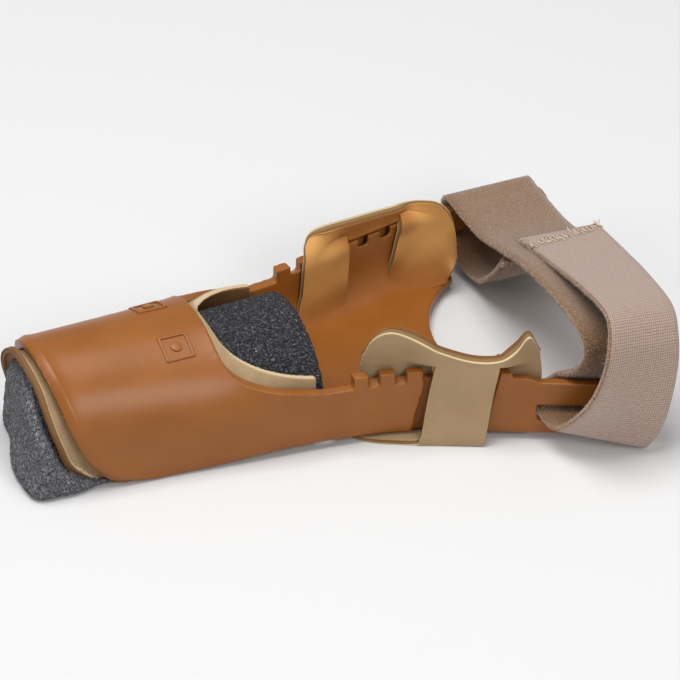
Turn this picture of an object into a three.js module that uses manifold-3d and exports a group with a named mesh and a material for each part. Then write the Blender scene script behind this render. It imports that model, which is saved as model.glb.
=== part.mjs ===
// Bunion splint for one foot, lying on its side as on a table.
// X runs from toe to heel, Y from the near rail to the far rail, Z up. Millimetres.
import * as THREE from 'three';
import { mergeVertices } from 'three/addons/utils/BufferGeometryUtils.js';
import Module from 'manifold-3d';

const wasm = await Module();
wasm.setup();

// Driving dimensions of the moulded shell
const WALL = 2.6;
const FOOT = 1.6;
const FLOOR_TOP = 3.6;
const FLOOR_FRONT = -5.6;
const FLOOR_FILLET = 6;
const FOOT_ROUND = 1.2;
const WALL_TOP = 15;
const BLOCK_TOP = 16.6;
const RAIL_TOP = 15.6;
const BELOW = -4;
const ABOVE = 44;
const BEYOND = 70;

// Toe hood: front rim and rear edge, seen from the side
const RIM_FOOT_X = -53;
const RIM_TOP_X = -72;
const RIM_BEND = { x: -66, z: 3.3 };
const HOOD_REAR_X = -30;
const HOOD_REAR_BEND = { x: -29.6, z: 17.6 };
const WINDOW_END_X = -8;

// Square teeth on the rails
const TOOTH_PITCH = 6;
const TOOTH_COUNT = 6;
const TOOTH_WIDTH = 3.4;
const TOOTH_TOP = 18;
const NOTCH_DEPTH = 2.5;
const NOTCH_SLOPE = THREE.MathUtils.degToRad(24);

// Rail ends: where the slot begins, where the rail stops and where the floor ends beside it
const NEAR = { sign: -1, column: 'near', slotX: 37, slotLength: 23.2, endX: 62, floorX: 36 };
const FAR = { sign: 1, column: 'far', slotX: 43, slotLength: 22.8, endX: 69, floorX: 42 };
const SLOT_LOW = 5.6;
const SLOT_HIGH = 9.6;
const LOWER_BAR_FOOT = 3.2;
const END_ROUND = 4.5;
const RECESS_DEPTH = 1.4;
const RECESS_MARGIN = 0.8;
const REAR_CUT = { vertexX: 28.7, radius: 27 };

// Raised square frames on the hood
const FRAME_SIZE = 7;
const FRAME_LINE = 0.7;
const FRAME_RAISE = 0.4;
const FRAME_X = -43.6;
const FRAME_Y = 11;
const FRAME_LEAN = THREE.MathUtils.degToRad(29);
const DOT_RADIUS = 1.3;

// Soft pieces
const GAP = 0.3;
const LINER_THICKNESS = 1.6;
const LINER_FRONT_PROUD = 2.4;
const LINER_REAR_PROUD = 2;
const LINER_END_X = -9.5;
const FOAM_FRONT_X = -74.8;
const FOAM_DOME = 2;
const FOAM_REAR_X = -6.2;
const FOAM_CLEAR = 0.5;
const FOAM_SWELL = 3.4;
const PAD_THICKNESS = 1.3;
const PAD_CLEAR = 0.6;
const PAD_LOW = 4.9;
const PAD_FLARE = 3.4;
const BAND_LOW = 19.5;
const TAB_SLANT = -4.4;
const STRAP_WIDTH = 21;
const STRAP_THICKNESS = 1.3;

// Outer half-widths of the shell, and the height where its walls spring into the hood's arch
const PLAN = [
  { x: -86, near: 17.6, far: 17.6, spring: 8.8, crest: 29.1 },
  { x: -58, near: 18.8, far: 18.8, spring: 8.8, crest: 29 },
  { x: -34, near: 20.9, far: 20.9, spring: 9, crest: 28.5 },
  { x: -26, near: 21.7, far: 21.7, spring: 11, crest: 29 },
  { x: -16, near: 22.5, far: 22.5, spring: 16, crest: 33 },
  { x: -6, near: 23.4, far: 23.4, spring: 20, crest: 36 },
  { x: 4, near: 24.9, far: 24.9, spring: 20, crest: 36 },
  { x: 14, near: 27.8, far: 27, spring: 20, crest: 36 },
  { x: 30, near: 35, far: 30.6, spring: 20, crest: 36 },
  { x: 38, near: 38.8, far: 33, spring: 20, crest: 36 },
  { x: 47, near: 43.1, far: 34, spring: 20, crest: 36 },
  { x: 72, near: 54.9, far: 34, spring: 20, crest: 36 },
];

// Top edge of the beige sheet above each rail, from toe to heel
const PADS = [
  {
    rail: NEAR,
    tabFrom: 15.6,
    tabTo: 28.8,
    top: [
      { x: -1.4, z: 16 },
      { x: 0.4, z: 23 },
      { x: 3.6, z: 28 },
      { x: 7.4, z: 28.9 },
      { x: 11.7, z: 26.8 },
      { x: 17, z: 23.4 },
      { x: 23, z: 21.3 },
      { x: 28.6, z: 21 },
      { x: 32.4, z: 23 },
      { x: 35.8, z: 27 },
    ],
  },
  {
    rail: FAR,
    tabFrom: 18,
    tabTo: 31,
    top: [
      { x: 6.6, z: 16 },
      { x: 8, z: 21.4 },
      { x: 11, z: 23.6 },
      { x: 16, z: 23.6 },
      { x: 27, z: 22.6 },
      { x: 35, z: 21.6 },
      { x: 39.4, z: 20.6 },
      { x: 41.6, z: 17.6 },
      { x: 42.9, z: 12 },
    ],
  },
];

// Course of the strap: its toe-side edge, with the turn and the dip of its width in degrees
const STRAP = [
  { at: 'sewn end', x: 46, y: -2, z: 22.4, turn: 0, dip: 4 },
  { at: 'inner ramp', x: 46.4, y: 8, z: 13.4, turn: 0, dip: 2 },
  { at: 'far sag', x: 46.4, y: 18, z: 5.2, turn: 0, dip: 0 },
  { at: 'sag end', x: 45.2, y: 26.6, z: 4.2, turn: 0, dip: 0 },
  { at: 'far slot', x: 44, y: 32.6, z: 7.4, turn: 0, dip: 0 },
  { at: 'far slot mouth', x: 44, y: 35.4, z: 8.6, turn: 0, dip: 0 },
  { at: 'far bar outside', x: 44, y: 36.3, z: 12.6, turn: 0, dip: 0 },
  { at: 'far bar top', x: 44, y: 34, z: 17.8, turn: 0, dip: 0 },
  { at: 'far shoulder', x: 44, y: 27, z: 18.7, turn: 0, dip: 0 },
  { at: 'far slope', x: 44.2, y: 14, z: 20.2, turn: 0, dip: 1 },
  { at: 'top', x: 44.3, y: 1, z: 24.4, turn: -1, dip: 5 },
  { at: 'top middle', x: 44.4, y: -12, z: 28.4, turn: -2, dip: 9 },
  { at: 'top near', x: 44.6, y: -31, z: 31, turn: -2, dip: 12 },
  { at: 'near shoulder', x: 44.9, y: -42, z: 30.2, turn: 4, dip: 12 },
  { at: 'near crown', x: 45, y: -45, z: 26, turn: 10, dip: 10 },
  { at: 'near fall', x: 44, y: -41.4, z: 19.4, turn: 18, dip: 6 },
  { at: 'inside rail', x: 41.8, y: -35.6, z: 14.6, turn: 24, dip: 2 },
  { at: 'inner turn', x: 39.6, y: -33.6, z: 10, turn: 25, dip: 0 },
  { at: 'near slot', x: 38.2, y: -38.4, z: 7.5, turn: 25.4, dip: 0 },
  { at: 'slot mouth', x: 38.2, y: -42.4, z: 6.6, turn: 24, dip: 8 },
  { at: 'lowest turn', x: 39, y: -45.4, z: 7.4, turn: 19, dip: 15 },
  { at: 'near rise', x: 41, y: -49.4, z: 12.2, turn: 10, dip: 15 },
  { at: 'near side', x: 43.4, y: -54.2, z: 19.4, turn: -3, dip: 13 },
  { at: 'near flank', x: 45.8, y: -56, z: 26.4, turn: -11, dip: 12 },
  { at: 'return shoulder', x: 47.4, y: -55.8, z: 34, turn: -16, dip: 16 },
  { at: 'return crown', x: 48.4, y: -50, z: 38.6, turn: -18, dip: 18 },
  { at: 'return top', x: 48.5, y: -36, z: 36.8, turn: -16, dip: 16 },
  { at: 'return slope', x: 48.4, y: -18, z: 32, turn: -10, dip: 12 },
  { at: 'free end', x: 48, y: -0.7, z: 27.2, turn: -6, dip: 8 },
];

// Smooth value of a table's column between its rows
function lookUp(table, x, column) {
  const last = table.length - 1;
  let i = 0;
  while (i < last - 1 && x > table[i + 1].x) i += 1;
  const slope = (k) => {
    const a = table[Math.max(k - 1, 0)];
    const b = table[Math.min(k + 1, last)];
    return (b[column] - a[column]) / (b.x - a.x);
  };
  const [from, to] = [table[i], table[i + 1]];
  const span = to.x - from.x;
  const t = THREE.MathUtils.clamp((x - from.x) / span, 0, 1);
  const rise = to[column] - from[column];
  const bendFrom = slope(i) * span - rise;
  const bendTo = rise - slope(i + 1) * span;
  return from[column] + t * rise + t * (1 - t) * (bendFrom * (1 - t) + bendTo * t);
}

// Numbers from one value to another in even steps
function steps(from, to, count) {
  return Array.from({ length: count + 1 }, (_, i) => from + ((to - from) * i) / count);
}

function toSolid(geometry) {
  const bare = geometry.index ? geometry : geometry.clone();
  for (const name of ['normal', 'uv']) bare.deleteAttribute(name);
  const welded = mergeVertices(bare, 1e-5);
  const vertProperties = new Float32Array(welded.attributes.position.array);
  const triVerts = new Uint32Array(welded.index.array);
  return new wasm.Manifold(new wasm.Mesh({ numProp: 3, vertProperties, triVerts }));
}

function toGeometry(solid) {
  const mesh = solid.getMesh();
  const geometry = new THREE.BufferGeometry();
  geometry.setAttribute('position', new THREE.BufferAttribute(new Float32Array(mesh.vertProperties), 3));
  geometry.setIndex(new THREE.BufferAttribute(new Uint32Array(mesh.triVerts), 1));
  return geometry;
}

function toIndexed(points, faces) {
  const geometry = new THREE.BufferGeometry();
  geometry.setAttribute('position', new THREE.Float32BufferAttribute(points.flatMap((p) => p.toArray()), 3));
  geometry.setIndex(faces.flat());
  return geometry;
}

// Closed solid through rings of points, each ring standing across X
function loft(rings) {
  const count = rings[0].length;
  const faces = [];
  for (let r = 0; r < rings.length - 1; r += 1) {
    for (let i = 0; i < count; i += 1) {
      const a = r * count + i;
      const b = r * count + ((i + 1) % count);
      faces.push([a, b, a + count], [b, b + count, a + count]);
    }
  }
  const flat = (ring) => ring.map((p) => new THREE.Vector2(p.y, p.z));
  const lastRing = (rings.length - 1) * count;
  for (const [a, b, c] of THREE.ShapeUtils.triangulateShape(flat(rings[0]), [])) faces.push([c, b, a]);
  for (const [a, b, c] of THREE.ShapeUtils.triangulateShape(flat(rings.at(-1)), [])) {
    faces.push([a + lastRing, b + lastRing, c + lastRing]);
  }
  return toSolid(toIndexed(rings.flat(), faces));
}

// Closed sheet of even thickness on both sides of a grid of points
function sheet(grid, thickness) {
  const rows = grid.length;
  const columns = grid[0].length;
  const normal = (r, c) => {
    const along = grid[Math.min(r + 1, rows - 1)][c].clone().sub(grid[Math.max(r - 1, 0)][c]);
    const across = grid[r][Math.min(c + 1, columns - 1)].clone().sub(grid[r][Math.max(c - 1, 0)]);
    return along.cross(across).normalize();
  };
  const offset = (side) => grid.flatMap((row, r) => row.map((p, c) => (
    p.clone().addScaledVector(normal(r, c), (side * thickness) / 2))));
  const points = [...offset(1), ...offset(-1)];
  const faces = [];
  const quad = (a, b, c, d) => faces.push([a, b, c], [a, c, d]);
  const at = (r, c, side) => (side > 0 ? 0 : rows * columns) + r * columns + c;
  for (let r = 0; r < rows - 1; r += 1) {
    for (let c = 0; c < columns - 1; c += 1) {
      quad(at(r, c, 1), at(r + 1, c, 1), at(r + 1, c + 1, 1), at(r, c + 1, 1));
      quad(at(r, c, -1), at(r, c + 1, -1), at(r + 1, c + 1, -1), at(r + 1, c, -1));
    }
  }
  for (let r = 0; r < rows - 1; r += 1) {
    quad(at(r, 0, 1), at(r, 0, -1), at(r + 1, 0, -1), at(r + 1, 0, 1));
    const c = columns - 1;
    quad(at(r, c, 1), at(r + 1, c, 1), at(r + 1, c, -1), at(r, c, -1));
  }
  for (let c = 0; c < columns - 1; c += 1) {
    quad(at(0, c, 1), at(0, c + 1, 1), at(0, c + 1, -1), at(0, c, -1));
    const r = rows - 1;
    quad(at(r, c, 1), at(r, c, -1), at(r, c + 1, -1), at(r, c + 1, 1));
  }
  return toSolid(toIndexed(points, faces));
}

// Distance of a rail's outer face from the middle plane
function outerFace(rail, x) {
  return lookUp(PLAN, x, rail.column);
}

// Places of the sections along X, closer together behind the hood
function stations(from, to) {
  const hood = steps(-82, -42, 5);
  const cradle = steps(-36, 72, 27);
  return [from, ...[...hood, ...cradle].filter((x) => x > from + 1 && x < to - 1), to];
}

// One section of the shell's form: walls with rounded feet under an arch
function section(x, inset, bottom, round) {
  const nearY = -outerFace(NEAR, x) + inset;
  const farY = outerFace(FAR, x) - inset;
  const spring = lookUp(PLAN, x, 'spring');
  const rise = lookUp(PLAN, x, 'crest') - inset - spring;
  const middle = (nearY + farY) / 2;
  const half = (farY - nearY) / 2;
  const point = (y, z) => new THREE.Vector3(x, y, z);
  const foot = (y, from, to) => steps(from, to, 4).map((angle) => (
    point(y + round * Math.cos(angle), bottom + round + round * Math.sin(angle))));
  const arch = steps(0, Math.PI, 24).map((angle) => (
    point(middle + half * Math.cos(angle), spring + rise * Math.sin(angle))));
  return [
    ...foot(farY - round, -Math.PI / 2, 0),
    ...arch,
    ...foot(nearY + round, -Math.PI, -Math.PI / 2),
  ];
}

function form(from, to, inset, bottom, round) {
  return loft(stations(from, to).map((x) => section(x, inset, bottom, round)));
}

// Outline drawn in X and Z, made solid from one Y to another
function sideways(shape, fromY, toY) {
  const settings = { depth: toY - fromY, bevelEnabled: false, curveSegments: 14 };
  const geometry = new THREE.ExtrudeGeometry(shape, settings);
  geometry.rotateX(Math.PI / 2);
  geometry.translate(0, toY, 0);
  return toSolid(geometry);
}

// Outline drawn in X and Y, made solid from one Z to another
function upwards(shape, fromZ, toZ) {
  const settings = { depth: toZ - fromZ, bevelEnabled: false, curveSegments: 24 };
  const geometry = new THREE.ExtrudeGeometry(shape, settings);
  geometry.translate(0, 0, fromZ);
  return toSolid(geometry);
}

// Front rim and window edge of the hood, moved out by what the liner stands proud
function hoodOutline(frontProud, rearProud) {
  const shape = new THREE.Shape();
  shape.moveTo(RIM_FOOT_X - frontProud, BELOW);
  shape.lineTo(RIM_FOOT_X - frontProud, FOOT);
  shape.quadraticCurveTo(RIM_BEND.x - frontProud, RIM_BEND.z, RIM_TOP_X - frontProud, ABOVE - 15);
  shape.lineTo(RIM_TOP_X - frontProud, ABOVE);
  shape.lineTo(HOOD_REAR_X + rearProud, ABOVE);
  shape.lineTo(HOOD_REAR_X + rearProud, 26);
  const bend = { x: HOOD_REAR_BEND.x + rearProud, z: HOOD_REAR_BEND.z + rearProud };
  const end = { x: WINDOW_END_X + rearProud, z: WALL_TOP + rearProud };
  shape.bezierCurveTo(bend.x, bend.z + 2, bend.x + 5, bend.z + 1, end.x, end.z);
  return shape;
}

function railOutline(rail) {
  const shape = hoodOutline(0, 0);
  const tooth = TOOTH_WIDTH / 2;
  const lastTooth = TOOTH_PITCH * (TOOTH_COUNT - 1) + tooth;
  shape.lineTo(-tooth, WALL_TOP);
  shape.lineTo(-tooth, TOOTH_TOP);
  shape.lineTo(lastTooth, TOOTH_TOP);
  shape.lineTo(lastTooth + 0.3, BLOCK_TOP);
  shape.lineTo(rail.slotX - 1.5, BLOCK_TOP);
  shape.lineTo(rail.slotX + 0.5, RAIL_TOP);
  shape.lineTo(rail.endX - END_ROUND, RAIL_TOP);
  shape.quadraticCurveTo(rail.endX, RAIL_TOP, rail.endX, RAIL_TOP - END_ROUND);
  shape.lineTo(rail.endX, LOWER_BAR_FOOT + END_ROUND);
  shape.quadraticCurveTo(rail.endX, LOWER_BAR_FOOT, rail.endX - END_ROUND, LOWER_BAR_FOOT);
  shape.lineTo(rail.slotX + 6, LOWER_BAR_FOOT);
  shape.quadraticCurveTo(rail.slotX + 2.5, LOWER_BAR_FOOT, rail.slotX + 1, BELOW);
  return shape;
}

// Direction of a rail in plan at X, as a turn about Z
function railTurn(rail, x) {
  const reach = 6;
  return rail.sign * Math.atan2(outerFace(rail, x + reach) - outerFace(rail, x - reach), 2 * reach);
}

function notch(rail, x) {
  const box = new THREE.BoxGeometry(TOOTH_PITCH - TOOTH_WIDTH, 4 * WALL, 4 * NOTCH_DEPTH);
  box.translate(0, 0, 2 * NOTCH_DEPTH);
  box.rotateX(-rail.sign * NOTCH_SLOPE);
  box.rotateZ(railTurn(rail, x));
  box.translate(x, rail.sign * (outerFace(rail, x) - WALL / 2), TOOTH_TOP - NOTCH_DEPTH);
  return toSolid(box);
}

function slot(rail) {
  const turn = railTurn(rail, rail.slotX + rail.slotLength / 2);
  const x = rail.slotX + (rail.slotLength / 2) * Math.cos(turn);
  const box = new THREE.BoxGeometry(rail.slotLength, 6 * WALL, SLOT_HIGH - SLOT_LOW);
  box.rotateZ(turn);
  box.translate(x, rail.sign * (outerFace(rail, x) - WALL / 2), (SLOT_LOW + SLOT_HIGH) / 2);
  return toSolid(box);
}

// Everything behind the floor's round rear edge, in plan
function rearOpening() {
  const { vertexX, radius } = REAR_CUT;
  const centreX = vertexX + radius;
  const reach = (rail) => Math.acos((centreX - rail.floorX) / radius);
  const shape = new THREE.Shape();
  shape.moveTo(BEYOND + 20, -BEYOND);
  shape.lineTo(NEAR.floorX, -BEYOND);
  shape.lineTo(NEAR.floorX, -radius * Math.sin(reach(NEAR)));
  shape.absarc(centreX, 0, radius, Math.PI + reach(NEAR), Math.PI - reach(FAR), true);
  shape.lineTo(FAR.floorX, BEYOND);
  shape.lineTo(BEYOND + 20, BEYOND);
  const inner = form(20, BEYOND + 2, WALL, BELOW, 1);
  return upwards(shape, BELOW, ABOVE).intersect(inner);
}

// Slanting block where a pad's tab crosses its rail
function tabZone(pad, margin, topZ) {
  const at = (z) => TAB_SLANT * (1 - z / BAND_LOW);
  const shape = new THREE.Shape();
  shape.moveTo(pad.tabFrom + at(BELOW) - margin, BELOW);
  shape.lineTo(pad.tabTo + at(BELOW) + margin, BELOW);
  shape.lineTo(pad.tabTo + at(topZ) + margin, topZ);
  shape.lineTo(pad.tabFrom + at(topZ) - margin, topZ);
  return pad.rail === NEAR ? sideways(shape, -BEYOND, -1) : sideways(shape, 1, BEYOND);
}

// Thin raised square with a dot, standing on the hood
function hoodMark(sign) {
  const half = FRAME_SIZE / 2;
  const square = (size) => [[-size, -size], [size, -size], [size, size], [-size, size]];
  const outline = new THREE.Shape(square(half).map(([x, y]) => new THREE.Vector2(x, y)));
  const inside = square(half - FRAME_LINE).map(([x, y]) => new THREE.Vector2(x, -y));
  outline.holes.push(new THREE.Path(inside));
  const dot = new THREE.Shape().absarc(0, 0, DOT_RADIUS, 0, 2 * Math.PI);
  const settings = { depth: 8, bevelEnabled: false, curveSegments: 10 };
  const place = (shape) => {
    const geometry = new THREE.ExtrudeGeometry(shape, settings);
    geometry.translate(0, 0, -4);
    geometry.rotateX(-sign * FRAME_LEAN);
    geometry.translate(FRAME_X, sign * FRAME_Y, 26);
    return toSolid(geometry);
  };
  return place(outline).add(place(dot));
}

function makeShell() {
  const front = -84;
  const outer = form(front, BEYOND, 0, FOOT, FOOT_ROUND);
  const hoodHollow = form(front - 0.5, FLOOR_FRONT, WALL, BELOW, 0.5);
  const cradleHollow = form(FLOOR_FRONT - 3, BEYOND + 1, WALL, FLOOR_TOP, FLOOR_FILLET);
  const nearSide = sideways(railOutline(NEAR), -BEYOND, 0.5);
  const farSide = sideways(railOutline(FAR), -0.5, BEYOND);
  let shell = outer.subtract(hoodHollow).subtract(cradleHollow).subtract(rearOpening());
  shell = shell.intersect(nearSide.add(farSide));
  for (const rail of [NEAR, FAR]) {
    for (let i = 0; i < TOOTH_COUNT - 1; i += 1) {
      shell = shell.subtract(notch(rail, (i + 0.5) * TOOTH_PITCH));
    }
    shell = shell.subtract(slot(rail));
  }
  const sunken = form(0, 40, RECESS_DEPTH, BELOW, 1);
  for (const pad of PADS) shell = shell.subtract(tabZone(pad, RECESS_MARGIN, BAND_LOW).subtract(sunken));
  const skin = form(FRAME_X - 8, FRAME_X + 8, -FRAME_RAISE, FOOT, FOOT_ROUND);
  const base = form(FRAME_X - 8, FRAME_X + 8, WALL / 2, FOOT, FOOT_ROUND);
  const marks = hoodMark(-1).add(hoodMark(1)).intersect(skin.subtract(base));
  return shell.add(marks);
}

function makeLiner() {
  const outside = WALL + GAP;
  const inside = outside + LINER_THICKNESS;
  const hollow = form(-81, LINER_END_X + 1, inside, BELOW, 0.3);
  const wall = form(-80, LINER_END_X, outside, FOOT, 0.4).subtract(hollow);
  const outline = hoodOutline(LINER_FRONT_PROUD, LINER_REAR_PROUD);
  outline.lineTo(WINDOW_END_X + LINER_REAR_PROUD, BELOW);
  return wall.intersect(sideways(outline, -BEYOND, BEYOND));
}

// Block with a flat foot and an arched top, domed at its front and swollen sideways
function foamBlock(xs, swell) {
  const inset = WALL + GAP + LINER_THICKNESS + FOAM_CLEAR;
  const low = PLAN[0].spring;
  return loft(xs.map((x) => {
    const rounding = Math.max(0, 1 - (x - FOAM_FRONT_X) / FOAM_DOME);
    const shrink = inset + FOAM_DOME * rounding * rounding;
    const spring = lookUp(PLAN, x, 'spring');
    const rise = lookUp(PLAN, x, 'crest') - (shrink - swell) - spring;
    const height = Math.min(lookUp(PLAN, x, 'crest'), PLAN[0].crest) - shrink - low;
    return section(x, shrink - swell, 0, 1).map((p) => (
      p.setZ(p.z < spring ? (p.z * low) / spring : low + ((p.z - spring) / rise) * height)));
  }));
}

// The foam swells a little where it stands out of the hood
function makeFoam() {
  const front = [FOAM_FRONT_X, FOAM_FRONT_X + 0.8, FOAM_FRONT_X + FOAM_DOME];
  const plug = foamBlock([FOAM_FRONT_X + FOAM_DOME, ...steps(-66, FOAM_REAR_X, 10)], 0);
  const swollen = foamBlock([...front, ...steps(-66, RIM_FOOT_X, 2)], FOAM_SWELL);
  const hood = hoodOutline(LINER_FRONT_PROUD + FOAM_CLEAR, 0);
  hood.lineTo(WINDOW_END_X, BELOW);
  return plug.add(swollen.subtract(sideways(hood, -BEYOND, BEYOND)));
}

// Middle of a sheet that lies on a rail's inner face and on the floor's fillet
function insidePath(rail, x, z) {
  const clear = PAD_CLEAR + PAD_THICKNESS / 2;
  const bend = FLOOR_FILLET - clear;
  const depth = Math.max(0, FLOOR_TOP + FLOOR_FILLET - z);
  return outerFace(rail, x) - WALL - FLOOR_FILLET + Math.sqrt(bend ** 2 - depth ** 2);
}

// Sheet inside one rail, which flares outwards over the rail's top
function padInside(pad) {
  const { rail, top } = pad;
  const xs = steps(top[0].x, top.at(-1).x, 22);
  const grid = steps(0, 1, 11).map((t) => xs.map((x) => {
    const z = THREE.MathUtils.lerp(PAD_LOW, lookUp(top, x, 'z'), t);
    const lean = THREE.MathUtils.smoothstep(z, TOOTH_TOP + 0.6, TOOTH_TOP + 9);
    const y = insidePath(rail, x, z) + PAD_FLARE * lean;
    return new THREE.Vector3(x, rail.sign * y, z);
  }));
  return sheet(grid, PAD_THICKNESS).subtract(tabZone(pad, 0, BAND_LOW));
}

// One band from the near sheet over the rail, down outside it, under the floor and up the far side
function padSling() {
  const clear = PAD_CLEAR + PAD_THICKNESS / 2 - RECESS_DEPTH;
  const under = PAD_THICKNESS / 2;
  const course = [
    { inward: 3, z: BAND_LOW + 2, widen: 0 },
    { inward: 2.6, z: BAND_LOW + 1, widen: 0 },
    { inward: 1.5, z: BAND_LOW + 0.3, widen: 0 },
    { inward: 0.2, z: BAND_LOW - 0.2, widen: 0 },
    { inward: -clear - 0.2, z: BAND_LOW - 1.6, widen: 0 },
    { inward: -clear - 0.3, z: 13, widen: 0 },
    { inward: -clear - 1.2, z: 7.5, widen: 0 },
    { inward: -clear - 2.4, z: 3, widen: 0 },
    { inward: -clear - 2.4, z: 1.5, widen: 0 },
    { inward: -clear - 1.6, z: under, widen: 0.6 },
    { inward: 5.5, z: under, widen: 12 },
    { inward: 14, z: under, widen: 13 },
  ];
  const across = steps(0, 1, 8);
  const row = (pad, { inward, z, widen }) => across.map((t) => {
    const slant = TAB_SLANT * (1 - z / BAND_LOW);
    const x = THREE.MathUtils.lerp(pad.tabFrom + slant - widen, pad.tabTo + slant, t);
    return new THREE.Vector3(x, pad.rail.sign * (outerFace(pad.rail, x) - inward), z);
  });
  const [near, far] = PADS;
  return sheet([
    ...course.map((stop) => row(near, stop)),
    ...course.map((stop) => row(far, stop)).reverse(),
  ], PAD_THICKNESS);
}

function makePadSling() {
  const [near, far] = PADS.map(padInside);
  return padSling().add(near).add(far);
}

function makeStrap() {
  const edge = (across) => new THREE.CatmullRomCurve3(STRAP.map(({ x, y, z, turn, dip }) => {
    const swing = THREE.MathUtils.degToRad(turn);
    const fall = THREE.MathUtils.degToRad(dip);
    const width = new THREE.Vector3(
      Math.cos(fall) * Math.cos(swing),
      -Math.cos(fall) * Math.sin(swing),
      -Math.sin(fall),
    );
    return new THREE.Vector3(x, y, z).addScaledVector(width, across * STRAP_WIDTH);
  }), false, 'catmullrom', 0.5);
  const edges = [0, 0.5, 1].map(edge);
  const count = 4 * (STRAP.length - 1);
  const grid = steps(0, 1, count).map((t) => edges.map((curve) => curve.getPoint(t)));
  return sheet(grid, STRAP_THICKNESS);
}

function makeMesh(name, solid, colour, roughness) {
  const material = new THREE.MeshStandardMaterial({ color: colour, roughness, metalness: 0 });
  const mesh = new THREE.Mesh(toGeometry(solid), material);
  mesh.name = name;
  return mesh;
}

const splint = new THREE.Group();
splint.add(
  makeMesh('shell', makeShell(), 0xb27a42, 0.4),
  makeMesh('toe_liner', makeLiner(), 0xc9ad7c, 0.7),
  makeMesh('toe_foam', makeFoam(), 0x4b4b50, 1),
  makeMesh('pad_sling', makePadSling(), 0xa58a62, 0.65),
  makeMesh('foot_strap', makeStrap(), 0xaf9b8c, 0.9),
);

// The origin is under the middle of the whole splint
const box = new THREE.Box3().setFromObject(splint);
splint.position.set(-(box.min.x + box.max.x) / 2, -(box.min.y + box.max.y) / 2, -box.min.z);

export default splint;
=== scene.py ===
# %% [markdown]
# # Bunion splint
# A splint that holds the big toe straight: a moulded plastic hood for the toe, two long walls with teeth
# for the pads, a soft laminated sling round the ball of the foot and one strap of hook-and-loop tape.
# The frame holds the CAD solids. They give every piece its place. The shell, the liner and the foam are
# copies of them that are refined here; the sling and the strap are bent sheets, so they are made anew.

# %% Frame
import math
import bmesh
import bpy
import numpy as np
from mathutils import Matrix, Vector


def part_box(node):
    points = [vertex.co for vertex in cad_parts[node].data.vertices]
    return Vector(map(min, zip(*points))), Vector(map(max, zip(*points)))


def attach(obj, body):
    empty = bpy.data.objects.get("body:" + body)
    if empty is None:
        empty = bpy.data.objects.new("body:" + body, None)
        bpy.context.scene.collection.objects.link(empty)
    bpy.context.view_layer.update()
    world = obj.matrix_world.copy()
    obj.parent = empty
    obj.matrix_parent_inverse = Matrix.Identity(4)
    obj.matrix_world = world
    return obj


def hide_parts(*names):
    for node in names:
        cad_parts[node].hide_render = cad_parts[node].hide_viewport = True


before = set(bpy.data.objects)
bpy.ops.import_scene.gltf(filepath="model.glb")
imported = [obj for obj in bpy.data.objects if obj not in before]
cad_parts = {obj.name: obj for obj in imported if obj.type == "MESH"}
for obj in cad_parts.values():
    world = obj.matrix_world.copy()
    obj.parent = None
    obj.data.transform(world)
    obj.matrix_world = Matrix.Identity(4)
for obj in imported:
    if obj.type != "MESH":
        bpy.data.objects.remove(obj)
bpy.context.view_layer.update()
bpy.ops.object.select_all(action="DESELECT")
MM = 0.001


def in_mm(lengths):
    """Lengths in metres as rounded millimetres, to print."""
    return [round(v / MM, 1) for v in lengths]


# %% [markdown]
# The drawing's own zero lies on the floor, under the middle of the foam, 74.8 mm behind its front face.
# All tables below are in millimetres from that zero: x towards the heel, y towards the far wall, z up.
# A line on the object could be drawn as a curve object. Here it is a short table with a smooth curve laid
# through its rows, because a row can be set against the real thing and changed by itself.

# %% Measures
FOAM_FRONT = 74.8
foam_low, foam_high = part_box("toe_foam")
ZERO = Vector((foam_low.x + FOAM_FRONT * MM, (foam_low.y + foam_high.y) / 2, 0.0))


def place(x, y, z):
    """The point so many mm from the drawing's zero."""
    return ZERO + Vector((x, y, z)) * MM


def smoothstep(value, low, high):
    """0 below low, 1 above high and a soft rise between; also for arrays."""
    t = np.clip((value - low) / (high - low), 0.0, 1.0)
    return t * t * (3.0 - 2.0 * t)


def look_up(rows, x, column=1):
    """Smooth curve through the rows (x, value, ...) of a table."""
    rows = sorted(rows)
    xs = [row[0] for row in rows]
    vs = [row[column] for row in rows]
    if x <= xs[0] or x >= xs[-1]:
        return vs[0] if x <= xs[0] else vs[-1]
    i = max(k for k in range(len(xs) - 1) if xs[k] <= x)
    slope = [(vs[min(k + 1, len(xs) - 1)] - vs[max(k - 1, 0)])
             / (xs[min(k + 1, len(xs) - 1)] - xs[max(k - 1, 0)]) for k in (i, i + 1)]
    run = xs[i + 1] - xs[i]
    t = (x - xs[i]) / run
    return ((1 + 2 * t) * (1 - t) ** 2 * vs[i] + t * (1 - t) ** 2 * run * slope[0]
            + t * t * (3 - 2 * t) * vs[i + 1] + t * t * (t - 1) * run * slope[1])


print("zero of the drawing, mm:", in_mm(ZERO))

# %% [markdown]
# Every piece is worked the same way, as by hand: pick it, add a modifier and apply it, or run a tool in
# edit mode. A CAD solid comes as loose triangles, so its copy is merged before anything else.

# %% Hand tools


def pick(piece):
    """Select one piece alone and make it active."""
    bpy.ops.object.select_all(action="DESELECT")
    piece.select_set(True)
    bpy.context.view_layer.objects.active = piece


def modify(piece, kind, **settings):
    """Add one modifier, set it and apply it."""
    pick(piece)
    modifier = piece.modifiers.new(kind.title(), kind)
    for key, value in settings.items():
        setattr(modifier, key, value)
    bpy.ops.object.modifier_apply(modifier=modifier.name)


def edit_whole(piece, tool, **settings):
    """Run one edit-mode tool on all of a piece."""
    pick(piece)
    bpy.ops.object.mode_set(mode="EDIT")
    bpy.ops.mesh.select_all(action="SELECT")
    tool(**settings)
    bpy.ops.object.mode_set(mode="OBJECT")


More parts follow.
